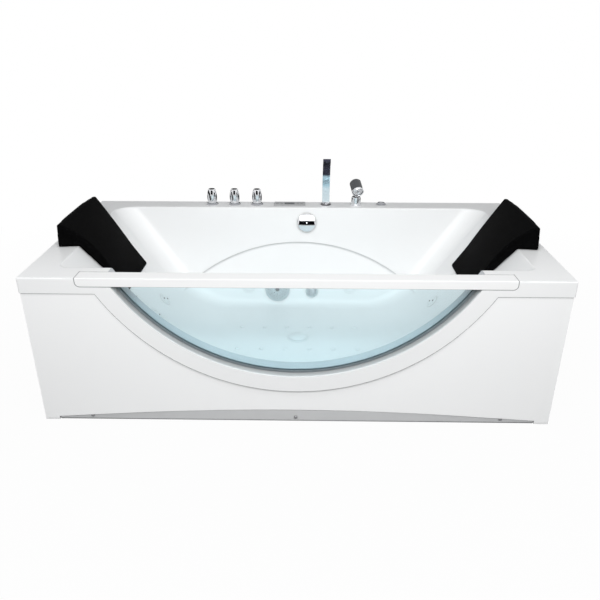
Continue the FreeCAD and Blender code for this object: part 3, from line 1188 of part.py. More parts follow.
def air_lines():
    """From the blower down and under the floor, along both rows of air jets."""
    radius = value("air_pipe")
    level, low = value("air_run_level"), value("air_low_level")
    run_end = value("2.5*air_pitch + 2*air_pipe")
    near, far = value("air_near"), value("air_far")
    cross = value("cross_half")
    start = point(f"{BLOWER[0]} + blower_radius + spigot_long", BLOWER[1], f"{SHELF} + spigot_up")
    side = value("feed_side")
    feed = pipe_run([
        start, start + Vector(value("feed_out"), 0, 0),
        Vector(-cross - value("feed_turn"), near - side, low), Vector(-cross - side, near, low),
        Vector(-cross + value("feed_past"), near, low - value("air_dip")),
        Vector(-run_end, near, level), Vector(-run_end + 2 * radius, near, level)], radius)
    near_run = pipe_run([Vector(-run_end + 2 * radius, near, level), Vector(run_end, near, level)], radius)
    far_run = pipe_run([Vector(-run_end, far, level), Vector(run_end, far, level)], radius)
    link_x = -run_end + 3 * radius
    link = pipe_run([Vector(link_x, near, level), Vector(link_x, far, level)], radius)
    return [feed, near_run, far_run, link.cut([near_run, far_run]).Solids[0]]


def pipework():
    result = doc.addObject("Part::Feature", "pipework")
    result.Shape = Part.makeCompound(suction_lines() + pressure_lines() + air_lines())
    keep(result)


# ---------------------------------------------------------------- the whole tub

for make in (basin, window, rail, panels, plinth, support_frame, feet, base_board):
    make()
for end, side in (("left", -1), ("right", 1)):
    pillow(end, side)
wall_fittings(jets())
for make in (suction, lamp, air_jets, drain, waste_trap, overflow_pipe, overflow, valves, spout,
             shower, air_regulator, control_panel, pump, blower, control_box, pipework):
    make()

doc.recompute()

problems = []
for item in doc.Objects:
    if any(word in item.State for word in ("Invalid", "Error")):
        problems.append(f"{item.Name}: {item.State}")
for part in subparts:
    if part.Shape.isNull() or not part.Shape.isValid() or not part.Shape.Solids:
        problems.append(f"{part.Label}: bad shape")
if problems:
    raise SystemExit("\n".join(problems))

os.makedirs("parts", exist_ok=True)
for part in subparts:
    part.Shape.exportStep(f"parts/{part.Label}.step")
    print(f"{part.Label:22s} {len(part.Shape.Solids):3d} solid(s) {part.Shape.Volume / 1000:12.1f} cm3")
print(len(subparts), "sub-parts")
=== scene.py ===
import json
import math

import bmesh
import bpy
from mathutils import Matrix, Vector, noise


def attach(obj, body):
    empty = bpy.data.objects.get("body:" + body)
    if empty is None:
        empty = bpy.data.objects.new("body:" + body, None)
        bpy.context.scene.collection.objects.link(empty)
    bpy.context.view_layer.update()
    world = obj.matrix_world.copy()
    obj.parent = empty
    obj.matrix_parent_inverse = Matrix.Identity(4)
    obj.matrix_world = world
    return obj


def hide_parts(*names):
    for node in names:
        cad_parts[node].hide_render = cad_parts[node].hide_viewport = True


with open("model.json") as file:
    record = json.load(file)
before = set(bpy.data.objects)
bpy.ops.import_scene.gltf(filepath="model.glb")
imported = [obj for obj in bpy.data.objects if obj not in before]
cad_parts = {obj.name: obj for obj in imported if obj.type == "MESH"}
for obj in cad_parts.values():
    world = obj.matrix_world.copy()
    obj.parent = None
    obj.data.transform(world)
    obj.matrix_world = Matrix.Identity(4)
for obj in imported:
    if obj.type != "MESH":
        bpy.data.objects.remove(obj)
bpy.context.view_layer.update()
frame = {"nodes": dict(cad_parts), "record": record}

# ------------------------------------------------------------------ places on the tub: metres, Z up, front -Y

RIM = 0.552                       # height of the flat rim
FRONT_Y = -0.4488                 # sealant on the front face, just inside the box
FACE_Y = -0.4485                  # what lies further front than this is the front face
WINDOW_Z, WINDOW_RADIUS = 0.892, 0.704
WINDOW_HALF = 0.0009              # how far from the radius a point still counts as the opening's edge
PANE_Y, GREY_Y = -0.342, -0.41    # the edge's far end behind the pane, and where the painted shade behind the pane gives way to plain grey in front of it
GREY_FADE = (-0.4498, -0.4380)    # the grey fades out towards the front face
RAIL_END, RAIL_LOW, RAIL_TURN = 0.7115, 0.5215, 0.0155
JOINT_HALF = 0.0012               # half the width of the painted shade round the rail's ends, for the joint's shadow

# Satin plastics start at this roughness. A little below it, at 0.274, the denoiser takes a surface for a
# mirror, and the change would show as patches.
SATIN = 0.285

# ------------------------------------------------------------------ material kit


class Finish:
    """A procedural material: one Principled shader, with helpers for the textures that feed it."""

    def __init__(self, name, **values):
        self.mat = bpy.data.materials.new(name)
        self.mat.use_nodes = True
        self.tree = self.mat.node_tree
        self.tree.nodes.clear()
        self.out = self.add("ShaderNodeOutputMaterial")
        self.shader = self.add("ShaderNodeBsdfPrincipled")
        self.tree.links.new(self.shader.outputs[0], self.out.inputs["Surface"])
        for key, number in values.items():
            self.shader.inputs[key.replace("_", " ")].default_value = number
        self.place = self.add("ShaderNodeTexCoord").outputs["Object"]

    def add(self, kind, **props):
        node = self.tree.nodes.new(kind)
        for key, setting in props.items():
            setattr(node, key, setting)
        return node

    def feed(self, node, **inputs):
        """Sets a node's inputs, from a socket or a plain value."""
        for key, source in inputs.items():
            socket = node.inputs[int(key[1:])] if key[1:].isdigit() else node.inputs[key.replace("_", " ")]
            if isinstance(source, bpy.types.NodeSocket):
                self.tree.links.new(source, socket)
            else:
                socket.default_value = source
        return node

    def coords(self, stretch=(1, 1, 1), turn=(0, 0, 0)):
        node = self.add("ShaderNodeMapping")
        self.feed(node, Vector=self.place, Scale=stretch, Rotation=turn)
        return node.outputs[0]

    def noise(self, scale, detail=2.0, rough=0.5, coords=None):
        node = self.add("ShaderNodeTexNoise")
        self.feed(node, Vector=coords or self.place, Scale=scale, Detail=detail, Roughness=rough)
        return node.outputs[0]

    def cells(self, scale, output="Distance", feature="F1", coords=None):
        node = self.add("ShaderNodeTexVoronoi", feature=feature)
        self.feed(node, Vector=coords or self.place, Scale=scale)
        return node.outputs[output]

    def wave(self, scale, distortion=0.0, direction="X", coords=None):
        node = self.add("ShaderNodeTexWave", wave_type="BANDS", bands_direction=direction)
        self.feed(node, Vector=coords or self.place, Scale=scale, Distortion=distortion)
        return node.outputs["Fac"]

    def span(self, source, low, high, start=0.0, end=1.0):
        """The source's range start to end mapped to low to high."""
        node = self.add("ShaderNodeMapRange")
        self.feed(node, Value=source, i1=start, i2=end, i3=low, i4=high)
        return node.outputs[0]

    def blend(self, source, *stops):
        """A colour ramp through (position, colour) stops."""
        node = self.add("ShaderNodeValToRGB")
        ramp = node.color_ramp
        while len(ramp.elements) < len(stops):
            ramp.elements.new(0.5)
        for element, (where, colour) in zip(ramp.elements, stops):
            element.position = where
            element.color = (*colour, 1)
        self.feed(node, Fac=source)
        return node.outputs[0]

    def math(self, operation, first, second=0.0):
        node = self.add("ShaderNodeMath", operation=operation)
        self.feed(node, i0=first, i1=second)
        return node.outputs[0]

    def mix(self, factor, first, second):
        """Two colours mixed; each is a socket or three numbers."""
        node = self.add("ShaderNodeMix", data_type="RGBA")
        wide = [c if isinstance(c, bpy.types.NodeSocket) else (*c, 1) for c in (first, second)]
        self.feed(node, i0=factor, i6=wide[0], i7=wide[1])
        return node.outputs[2]

    def axis(self, name):
        node = self.add("ShaderNodeSeparateXYZ")
        self.feed(node, Vector=self.place)
        return node.outputs[name]

    def multiply(self, first, second):
        """Two colours multiplied."""
        node = self.add("ShaderNodeMix", data_type="RGBA", blend_type="MULTIPLY")
        self.feed(node, i0=1.0, i6=first, i7=second)
        return node.outputs[2]

    def paint(self, colour, rough=None):
        self.tree.links.new(colour, self.shader.inputs["Base Color"])
        if rough is not None:
            self.tree.links.new(rough, self.shader.inputs["Roughness"])

    def crease_shade(self, colour, reach=0.014, dark=0.45):
        """The colour with painted shade: darker where surfaces meet, by ambient occlusion."""
        node = self.add("ShaderNodeAmbientOcclusion", samples=6)
        self.feed(node, Distance=reach)
        shade = self.span(node.outputs["AO"], dark, 1.0, 0.2, 0.95)
        grey = self.add("ShaderNodeCombineColor")
        self.feed(grey, Red=shade, Green=shade, Blue=shade)
        return self.multiply(colour, grey.outputs[0])

    def relief(self, height, depth, strength=1.0):
        """Bump of a depth in metres; a second call adds to the first."""
        node = self.add("ShaderNodeBump")
        self.feed(node, Height=height, Distance=depth, Strength=strength)
        normal = self.shader.inputs["Normal"]
        if normal.is_linked:
            self.tree.links.new(normal.links[0].from_socket, node.inputs["Normal"])
        self.tree.links.new(node.outputs[0], normal)
        return self


# plain grey on the window opening's edge in front of the pane
EDGE_GREY = (0.43, 0.435, 0.44)
# painted shade: the window opening's white edge behind the pane, darkened as if shaded
EDGE_SHADE_BEHIND = (0.56, 0.58, 0.60)
# painted shade: the grey of the joint's shadow round the rail's ends
JOINT_SHADE = (0.24, 0.245, 0.25)


def hypotenuse(f, first, second):
    """The distance from two offsets at right angles."""
    return f.math("SQRT", f.math("ADD", f.math("MULTIPLY", first, first), f.math("MULTIPLY", second, second)))


def window_edge(f, colour):
    """The colour, grey on the window opening's edge in front of the pane, and painted shade, a paler
    blue-grey, on its edge behind the pane.
    """
    away = hypotenuse(f, f.axis("X"), f.math("SUBTRACT", f.axis("Z"), WINDOW_Z))
    near = f.math("LESS_THAN", f.math("ABSOLUTE", f.math("SUBTRACT", away, WINDOW_RADIUS)), WINDOW_HALF)
    front = f.math("LESS_THAN", f.axis("Y"), PANE_Y)
    # grey in front of the pane, painted shade behind it
    edge_tone = f.mix(f.math("LESS_THAN", f.axis("Y"), GREY_Y), EDGE_SHADE_BEHIND, EDGE_GREY)
    fade = f.span(f.axis("Y"), 0.0, 1.0, *GREY_FADE)
    return f.mix(f.math("MULTIPLY", f.math("MULTIPLY", near, front), fade), colour, edge_tone)


def rail_joint(f, colour):
    """The colour, with grey painted shade on both sides of the joint round the rail's ends, on the front
    face, where the gap's shadow is.
    """
    spread = f.math("SUBTRACT", f.math("ABSOLUTE", f.axis("X")), RAIL_END - RAIL_TURN)
    drop = f.math("SUBTRACT", RAIL_LOW + RAIL_TURN, f.axis("Z"))
    out_x, out_z = (f.math("MAXIMUM", q, 0.0) for q in (spread, drop))
    inner = f.math("MINIMUM", f.math("MAXIMUM", spread, drop), 0.0)
    away = f.math("SUBTRACT", f.math("ADD", hypotenuse(f, out_x, out_z), inner), RAIL_TURN)
    near = f.math("LESS_THAN", f.math("ABSOLUTE", away), JOINT_HALF)
    front = f.math("LESS_THAN", f.axis("Y"), FACE_Y)
    return f.mix(f.math("MULTIPLY", near, front), colour, JOINT_SHADE)


def gloss_white(name, tone, peel=0.00002, low=SATIN, high=0.315, edge=False, joint=False):
    """Cast acrylic: near white, with a trace of tone drift, orange peel and polish marks."""
    f = Finish(name, IOR=1.49, Specular_IOR_Level=0.36, Coat_Weight=0.05, Coat_Roughness=0.12)
    drift = f.noise(1.1, 1)
    cool = tuple(c * 0.994 for c in tone)
    colour = f.blend(drift, (0.35, cool), (0.65, tone))
    if edge:
        colour = window_edge(f, colour)
    if joint:
        colour = rail_joint(f, colour)
    # painted shade where surfaces meet, on top of the colour
    f.paint(f.crease_shade(colour), f.span(f.noise(5, 2), low, high, 0.2, 0.8))
    return f.relief(f.noise(55, 2), peel).mat


def polished(name, tone, low=0.03, high=0.09):
    """Chrome plate with faint smears in its polish."""
    f = Finish(name, Metallic=1.0)
    smear = f.noise(22, 4, 0.6, f.coords((1, 1, 2.5)))
    f.paint(f.blend(smear, (0.3, tuple(c * 0.95 for c in tone)), (0.7, tone)),
            f.span(smear, low, high, 0.35, 0.75))
    return f.relief(f.noise(160, 2), 0.000004).mat


def moulded(name, tone, grain, depth, low, high, lift=1.25):
    """Injection-moulded plastic with a spark-eroded grain."""
    f = Finish(name, IOR=1.5)
    pale = tuple(min(c * lift + 0.004, 1) for c in tone)
    # painted shade in the creases, on top of the mottled colour
    f.paint(f.crease_shade(f.blend(f.noise(9, 5, 0.6), (0.3, tone), (0.75, pale)), 0.006),
            f.span(f.noise(30, 3), low, high, 0.3, 0.7))
    return f.relief(f.noise(grain, 3, 0.6), depth).mat


def brushed(name, tone, stretch, scale=90):
    """Metal with a brushed grain along one axis."""
    f = Finish(name, Metallic=1.0)
    lines = f.noise(scale, 5, 0.7, f.coords(stretch))
    f.paint(f.blend(lines, (0.3, tuple(c * 0.8 for c in tone)), (0.7, tone)),
            f.span(lines, SATIN, 0.42, 0.3, 0.7))
    return f.relief(lines, 0.00003).mat


def galvanised():
    """Hot-dip zinc with its spangle and dull stains."""
    f = Finish("frame_zinc", Metallic=0.85)
    flakes = f.cells(70, "Color")
    tint = f.add("ShaderNodeSeparateColor")
    f.feed(tint, Color=flakes)
    spangle = tint.outputs[0]
    stain = f.noise(6, 5, 0.6)
    metal = f.blend(spangle, (0.0, (0.38, 0.40, 0.42)), (1.0, (0.60, 0.62, 0.64)))
    f.paint(f.mix(f.span(stain, 0, 0.35, 0.45, 0.8), metal, (0.50, 0.50, 0.48)), f.span(spangle, 0.38, 0.58))
    return f.relief(f.noise(200, 3), 0.00003).mat


def window():
    """Tinted safety glass. Lamps reach through it, by a clear tinted shader for shadow rays."""
    tint = (0.785, 0.915, 0.95)
    passes = 0.86
    f = Finish("pane_tinted", IOR=1.46, Transmission_Weight=1.0)
    drift = f.blend(f.noise(2.2, 2), (0.35, tint), (0.7, tuple(min(c * 1.02, 1) for c in tint)))
    f.paint(drift, f.span(f.noise(35, 5, 0.65), 0.0, 0.035, 0.45, 0.8))
    clear = f.add("ShaderNodeBsdfTransparent")
    f.feed(clear, Color=(*(passes * c for c in tint), 1))
    swap = f.add("ShaderNodeMixShader")
    f.feed(swap, i0=f.add("ShaderNodeLightPath").outputs["Is Shadow Ray"], i1=f.shader.outputs[0],
           i2=clear.outputs[0])
    f.tree.links.new(swap.outputs[0], f.out.inputs["Surface"])
    return f.mat


def lens():
    """The lamp's frosted lens with its fine prisms."""
    f = Finish("lamp_frosted", IOR=1.58, Transmission_Weight=0.6)
    f.paint(f.blend(f.noise(60, 2), (0.3, (0.80, 0.86, 0.90)), (0.7, (0.88, 0.92, 0.95))),
            f.span(f.noise(90, 3), SATIN, 0.36))
    return f.relief(f.cells(420), 0.00025).mat


def foam():
    """Moulded skin foam: black, matt, pebbled like fine leather."""
    f = Finish("headrest_foam", IOR=1.45, Sheen_Weight=0.004, Sheen_Roughness=0.5, Specular_IOR_Level=0.012)
    pebbles = f.cells(430, "Distance", "SMOOTH_F1")
    creases = f.noise(110, 4, 0.65)
    f.paint(f.blend(creases, (0.3, (0.0013, 0.0013, 0.0014)), (0.75, (0.0035, 0.0035, 0.0037))),
            f.span(pebbles, 0.5, 0.72, 0.1, 0.7))
    f.relief(pebbles, 0.00035, 0.7)
    return f.relief(creases, 0.0003, 0.5).mat


def timber():
    """Birch plywood under the floor."""
    f = Finish("board_plywood", IOR=1.45)
    grain = f.wave(7, 9, "Y", coords=f.coords((0.25, 2.2, 2.2)))
    fibre = f.noise(240, 4, 0.7, f.coords((0.06, 1, 1)))
    wood = f.blend(grain, (0.1, (0.50, 0.36, 0.20)), (0.55, (0.62, 0.47, 0.29)), (0.95, (0.56, 0.41, 0.24)))
    plies = f.span(f.wave(165, 0, "Z"), 0.72, 1.0)
    tone = f.mix(f.span(fibre, 0, 0.4, 0.35, 0.7), wood, (0.40, 0.27, 0.14))
    layers = f.blend(plies, (0.72, (0.7, 0.66, 0.6)), (1.0, (1, 1, 1)))
    f.paint(f.multiply(tone, layers), f.span(fibre, 0.55, 0.8))
    return f.relief(fibre, 0.0002).mat


def rubber():
    """The window's grey seal, faintly mottled."""
    f = Finish("seal_rubber", IOR=1.5)
    f.paint(f.blend(f.noise(40, 4), (0.3, (0.150, 0.180, 0.195)), (0.7, (0.185, 0.215, 0.230))),
            f.span(f.noise(120, 3), 0.42, 0.6))
    return f.relief(f.noise(600, 2), 0.00005).mat


def brass():
    """Cast valve brass, dull where it is tarnished."""
    f = Finish("valve_brass", Metallic=1.0)
    tarnish = f.noise(38, 5, 0.65)
    f.paint(f.blend(tarnish, (0.3, (0.42, 0.28, 0.11)), (0.7, (0.72, 0.55, 0.26))),
            f.span(tarnish, 0.42, SATIN, 0.3, 0.7))
    return f.relief(f.noise(300, 3), 0.00005).mat


def pane_dark():
    """A switched-off display: dark glass over a faint pixel grid."""
    f = Finish("display_glass", IOR=1.5, Coat_Weight=1.0, Coat_Roughness=0.03)
    columns = f.wave(210, 0, "X")
    rows = f.wave(210, 0, "Y")
    grid = f.math("MULTIPLY", columns, rows)
    f.paint(f.blend(grid, (0.1, (0.16, 0.17, 0.18)), (0.8, (0.20, 0.21, 0.22))), f.span(grid, SATIN, 0.4))
    return f.mat


def hose():
    """Pale pressure pipe, faintly mottled, with dust on what faces up."""
    f = Finish("pipe_pvc", IOR=1.5)
    facing = f.add("ShaderNodeNewGeometry").outputs["Normal"]
    parts = f.add("ShaderNodeSeparateXYZ")
    f.feed(parts, Vector=facing)
    dust = f.math("MULTIPLY", f.span(parts.outputs["Z"], 0, 0.5, 0.4, 1.0), f.noise(18, 5, 0.6))
    base = f.blend(f.noise(12, 4), (0.3, (0.74, 0.745, 0.74)), (0.7, (0.81, 0.815, 0.81)))
    f.paint(f.mix(dust, base, (0.60, 0.58, 0.54)), f.span(dust, 0.3, 0.6, 0, 0.5))
    return f.relief(f.noise(130, 3), 0.00006).mat


def spout_reflection_bands():
    """Satin metal with painted reflections: dark slate down the blade's upper front and pale below, in bands
    by height.
    """
    f = Finish("spout_painted_reflection", Metallic=1.0)
    smear = f.noise(22, 4, 0.6, f.coords((1, 1, 2.5)))
    level = f.math("ADD", f.axis("Z"), f.span(f.noise(30, 2), -0.003, 0.003))
    foot, tip = 0.55, 0.77
    # painted reflection: colour bands by height between foot and tip
    tone = f.blend(f.span(level, 0, 1, foot, tip), (0.0, (0.10, 0.10, 0.11)), (0.045, (0.20, 0.20, 0.21)),
                   (0.065, (0.80, 0.81, 0.83)), (0.34, (0.74, 0.78, 0.82)), (0.41, (0.52, 0.66, 0.74)),
                   (0.59, (0.44, 0.58, 0.66)), (0.635, (0.045, 0.046, 0.066)), (1.0, (0.030, 0.031, 0.046)))
    f.paint(tone, f.span(smear, 0.16, 0.26, 0.35, 0.75))
    return f.relief(f.noise(160, 2), 0.000004).mat


WHITE = (0.905, 0.91, 0.91)
CHROME = (0.80, 0.81, 0.83)
FINISHES = {
    "acrylic_white": gloss_white("shell_acrylic", WHITE, edge=True, joint=True),
    "rail_white": gloss_white("rail_lacquer", (0.93, 0.932, 0.93), 0.00001, 0.2, 0.24, joint=True),
    "panel_white": gloss_white("apron_acrylic", (0.96, 0.963, 0.962), 0.00003),
    "plinth_grey": moulded("plinth_coat", (0.56, 0.565, 0.57), 320, 0.00004, 0.3, 0.45, 1.05),
    "window_glass": window(),
    "seal_rubber": rubber(),
    "bolt_steel": brushed("bolt_brushed", (0.26, 0.26, 0.27), (1, 1, 12)),
    "frame_steel": galvanised(),
    "foot_plastic": moulded("foot_nylon", (0.020, 0.020, 0.021), 500, 0.00008, 0.4, 0.6),
    "board_wood": timber(),
    "pillow_black": foam(),
    "stud_plastic": moulded("stud_nylon", (0.03, 0.03, 0.03), 500, 0.00005, 0.4, 0.55),
    "jet_plastic": moulded("fitting_abs", (0.85, 0.86, 0.86), 380, 0.00005, SATIN, 0.36, 1.04),
    "cover_grey": moulded("cover_abs", (0.52, 0.57, 0.59), 380, 0.00005, SATIN, 0.4, 1.06),
    "lamp_lens": lens(),
    "fitting_chrome": polished("tap_chrome", CHROME),
    "valve_brass": brass(),
    "shower_plastic": moulded("handset_grey", (0.050, 0.052, 0.056), 420, 0.00006, SATIN, 0.36),
    "panel_silver": moulded("panel_satin", (0.44, 0.445, 0.45), 420, 0.00004, 0.36, 0.48, 1.06),
    "display_dark": pane_dark(),
    "button_grey": moulded("button_soft", (0.30, 0.305, 0.31), 600, 0.00004, 0.35, 0.5),
    "motor_metal": moulded("motor_paint", (0.035, 0.038, 0.042), 260, 0.0001, 0.35, 0.55),
    "pump_plastic": moulded("pump_glassfilled", (0.016, 0.016, 0.018), 350, 0.0001, 0.34, 0.5),
    "pipe_plastic": hose(),
}

# nodes whose finish differs from the rest of their slot; the spout's is a painted reflection, and the
# flanges' and the air knob's darker chrome is painted shade
ODD_FINISHES = {
    "spout": spout_reflection_bands(),
    # darker copies of the tap chrome: painted shade in their reflections
    "valve_flanges": polished("flange_shaded_chrome", (0.40, 0.41, 0.43)),
    "air_regulator_knob": polished("air_knob_shaded_chrome", (0.34, 0.35, 0.37)),
}

for part in frame["record"]["subparts"]:
    node = frame["nodes"][part["node"]]
    if not node.material_slots:
        node.data.materials.append(None)
    for entry in node.material_slots:
        entry.material = ODD_FINISHES.get(part["node"], FINISHES[part["material_slot"]])

# ------------------------------------------------------------------ pieces


def new_mesh(name, vertices, faces, slot, body):
    """A piece from points and faces, in a slot's finish, riding on a body."""
    mesh = bpy.data.meshes.new(name)
    mesh.from_pydata([tuple(v) for v in vertices], [], faces)
    mesh.update()
    obj = bpy.data.objects.new(name, mesh)
    bpy.context.scene.collection.objects.link(obj)
    mesh.materials.append(FINISHES[slot])
    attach(obj, body)
    return obj


def outward(obj):
    """Turns the faces outward and shades them smooth."""
    shape = bmesh.new()
    shape.from_mesh(obj.data)
    bmesh.ops.recalc_face_normals(shape, faces=shape.faces)
    shape.to_mesh(obj.data)
    shape.free()
    for face in obj.data.polygons:
        face.use_smooth = True


def apply_modifiers(obj):
    """Makes the modifiers' result the piece's own mesh."""
    graph = bpy.context.evaluated_depsgraph_get()
    done = bpy.data.meshes.new_from_object(obj.evaluated_get(graph))
    obj.modifiers.clear()
    obj.data = done


def revolved(name, profile, origin, axis, slot, body, steps=64, lobes=0, swell=0.0):
    """A ring or disc turned round an axis. The profile is (radius, height) points, in metres. Lobes swell its
    outline by a share of the radius."""
    way = Vector(axis).normalized()
    frame_of = way.to_track_quat("Z", "Y").to_matrix()
    vertices, faces = [], []
    for k in range(steps):
        angle = 2 * math.pi * k / steps
        for radius, height in profile:
            reach = radius * (1 + swell * math.cos(lobes * angle))
            local = Vector((reach * math.cos(angle), reach * math.sin(angle), height))
            vertices.append(Vector(origin) + frame_of @ local)
    count = len(profile)
    for k in range(steps):
        for i in range(count):
            j = (i + 1) % count
            a, b = k * count, (k + 1) % steps * count
            faces.append((a + i, b + i, b + j, a + j))
    obj = new_mesh(name, vertices, faces, slot, body)
    outward(obj)
    return obj


def bead(name, points, radius, sides=8):
    """A thin round grey strip along a line of points, standing in for the shadow in a joint or at the floor:
    painted shade.
    """
    line = [Vector(point) for point in points]
    vertices, faces = [], []
    for k, spot in enumerate(line):
        way = (line[min(k + 1, len(line) - 1)] - line[max(k - 1, 0)]).normalized()
        turn = way.to_track_quat("Z", "Y").to_matrix()
        for i in range(sides):
            angle = 2 * math.pi * i / sides
            vertices.append(spot + turn @ Vector((radius * math.cos(angle), radius * math.sin(angle), 0)))
    for k in range(len(line) - 1):
        for i in range(sides):
            j = (i + 1) % sides
            a, b = k * sides, (k + 1) * sides
            faces.append((a + i, a + j, b + j, b + i))
    faces.append(tuple(range(sides)))
    faces.append(tuple(reversed(range((len(line) - 1) * sides, len(line) * sides))))
    obj = new_mesh(name, vertices, faces, "seal_rubber", "tub")
    outward(obj)
    obj.data.materials[0] = SHADOW_LINE


def corner(start, middle, end, steps=8):
    """Points along a quarter turn from start to end, round the corner at middle."""
    a, b, c = Vector(start), Vector(middle), Vector(end)
    centre = a + c - b
    angles = [math.pi / 2 * k / steps for k in range(steps + 1)]
    return [centre + (b - c) * math.cos(angle) + (b - a) * math.sin(angle) for angle in angles]


# Headrests: the CAD wedge's own section, with softer edges, a crowned top and drawn-in ends. Three values
# are at the near end, in the middle and at the far end; two are at the back and at the tip.

CLEAR = 0.0005                    # between the foam and the acrylic
SEAT = RIM + CLEAR
BACK_X, TIP_X, OPENING_X = 0.868, 0.640, 0.797
BACKREST = math.radians(50)
TIP_LOW = RIM - (OPENING_X - TIP_X) * math.tan(BACKREST) + CLEAR / math.cos(BACKREST)
TIP_THICK = 0.012
SHOULDER_X, RIDGE_X, HEEL_X = 0.703, 0.848, 0.862
SHOULDERS = (0.485, 0.479, 0.449)
RIDGES = (0.636, 0.641, 0.631)
BENDS = (1 / 0.341, 1 / 0.62, 1 / 2.4)
NEAR = (-0.164, -0.142)
FAR = (0.246, 0.146)
STATIONS = 41
BOW_STEPS = 14
VOXEL = 0.0035
DRAWN_IN, END_SHARE = 0.003, 0.02      # how far the end faces draw in, and the share of the length they hold
UNEVEN, LUMPS, SOLE = 0.0006, 9, 0.01  # height and closeness of the unevenness, which starts above the sole


def through(values, along):
    """The curve through a value at the start, the middle and the end, at a share of the way."""
    first, middle, last = values
    return (first * (2 * along - 1) * (along - 1) + middle * 4 * along * (1 - along)
            + last * along * (2 * along - 1))


def bow(start, end, radius, steps):
    """Points between two ends on an arc that bulges up and outward."""
    a, b = Vector(start), Vector(end)
    half = (b - a).length / 2
    middle = (a + b) / 2
    across = Vector((-(b - a).y, (b - a).x)).normalized()
    centre = middle - across * math.sqrt(radius * radius - half * half)
    first = math.atan2(a.y - centre.y, a.x - centre.x)
    last = math.atan2(b.y - centre.y, b.x - centre.x)
    return [(centre.x + radius * math.cos(first + (last - first) * k / steps),
             centre.y + radius * math.sin(first + (last - first) * k / steps)) for k in range(1, steps)]


def ends_at(x):
    """How far along from the back to the tip x is, and the Y of the near and far end there."""
    taper = (BACK_X - x) / (BACK_X - TIP_X)
    return taper, NEAR[0] + (NEAR[1] - NEAR[0]) * taper, FAR[0] + (FAR[1] - FAR[0]) * taper


def headrest(end, side):
    """A wedge of skin foam: closed section lofted along the tub's width, remeshed and softened."""
    vertices, faces = [], []
    for k in range(STATIONS):
        along = k / (STATIONS - 1)
        shoulder = (SHOULDER_X, through(SHOULDERS, along))
        top = through(RIDGES, along)
        ridge = (RIDGE_X, top)
        lip = (TIP_X, TIP_LOW + TIP_THICK + (top - RIDGES[0]) / 2)
        low = [(BACK_X, SEAT), (OPENING_X - 0.001, SEAT), (TIP_X, TIP_LOW)]
        high = [lip, shoulder, *bow(shoulder, ridge, 1 / through(BENDS, along), BOW_STEPS), ridge,
                (HEEL_X, top - 0.002)]
        section = low + high
        count = len(section)
        for x, z in section:
            _, near, far = ends_at(x)
            vertices.append((side * x, near + (far - near) * along, z))
    for k in range(STATIONS - 1):
        for i in range(count):
            j = (i + 1) % count
            a, b = k * count, (k + 1) * count
            faces.append((a + i, a + j, b + j, b + i))
    faces.append(tuple(range(count)))
    faces.append(tuple(reversed(range((STATIONS - 1) * count, STATIONS * count))))
    body = f"{end}_headrest"
    obj = new_mesh(f"{end}_headrest_pad", vertices, faces, "pillow_black", body)
    outward(obj)
    remesh = obj.modifiers.new("voxels", "REMESH")
    remesh.mode = "VOXEL"
    remesh.voxel_size = VOXEL
    smooth = obj.modifiers.new("soften", "SMOOTH")
    smooth.factor = 0.5
    smooth.iterations = 4
    apply_modifiers(obj)
    soften(obj, side)
    for face in obj.data.polygons:
        face.use_smooth = True
    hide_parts(f"{end}_pillow")


def soften(obj, side):
    """Draws the end faces in between their corners, and adds the unevenness of moulded foam."""
    for vertex in obj.data.vertices:
        x, y, z = side * vertex.co.x, vertex.co.y, vertex.co.z
        taper, near, far = ends_at(x)
        along = (y - near) / (far - near)
        draw = DRAWN_IN * max(0.0, 1 - abs(2 * taper - 1) ** 2)
        if along < END_SHARE:
            y += draw
        elif along > 1 - END_SHARE:
            y -= draw
        if z > SEAT + SOLE:
            z += UNEVEN * noise.noise(Vector((LUMPS * x, LUMPS * y, LUMPS * z)))
        vertex.co = (side * x, y, z)
    obj.data.update()


for end, side in (("left", -1), ("right", 1)):
    headrest(end, side)

# painted shadow lines: grey strips in the joints round the rail's ends and between fascia and apron, and a
# contact shadow along the floor

# painted shade: the grey of the strips that stand for shadow lines
SHADOW_LINE = moulded("shadow_line_grey", (0.20, 0.205, 0.21), 500, 0.00003, 0.4, 0.55, 1.05)
RAIL_BACK_Y, RAIL_CREST = -0.3935, RIM - 0.0004
RAIL_MIDWAY, RAIL_INNER = 0.66, 0.604
for end, side in (("left", -1), ("right", 1)):
    x = side * RAIL_END
    line = [(x, RAIL_BACK_Y, RAIL_CREST), (x, FRONT_Y - 0.0002, RAIL_CREST), (x, FRONT_Y, RIM - 0.003)]
    line += corner((x, FRONT_Y, RAIL_LOW + RAIL_TURN), (x, FRONT_Y, RAIL_LOW),
                   (x - side * RAIL_TURN, FRONT_Y, RAIL_LOW))
    line += [(side * RAIL_MIDWAY, FRONT_Y, RAIL_LOW), (side * RAIL_INNER, FRONT_Y, RAIL_LOW)]
    bead(f"{end}_rail_shadow_line", line, 0.0011)

SEAM, SEAM_Z, SEAM_Y, SEAM_END, SEAM_STEPS = 0.76275, 0.49625, -0.4487, 0.893, 48
reach = math.sqrt(SEAM**2 - (WINDOW_Z - SEAM_Z)**2)
swing = math.asin(reach / SEAM) / SEAM_STEPS
arc = [(SEAM * math.sin(swing * k), SEAM_Y, WINDOW_Z - SEAM * math.cos(swing * k))
       for k in range(-SEAM_STEPS, SEAM_STEPS + 1)]
bead("apron_shadow_line", [(-SEAM_END, SEAM_Y, SEAM_Z), *arc, (SEAM_END, SEAM_Y, SEAM_Z)], 0.0010)
SKIRT_END, SKIRT_Y, SKIRT_Z = 0.842, -0.4412, 0.0018
bead("floor_contact_shadow", [(x, SKIRT_Y, SKIRT_Z) for x in (-SKIRT_END, 0.0, SKIRT_END)], 0.0014)
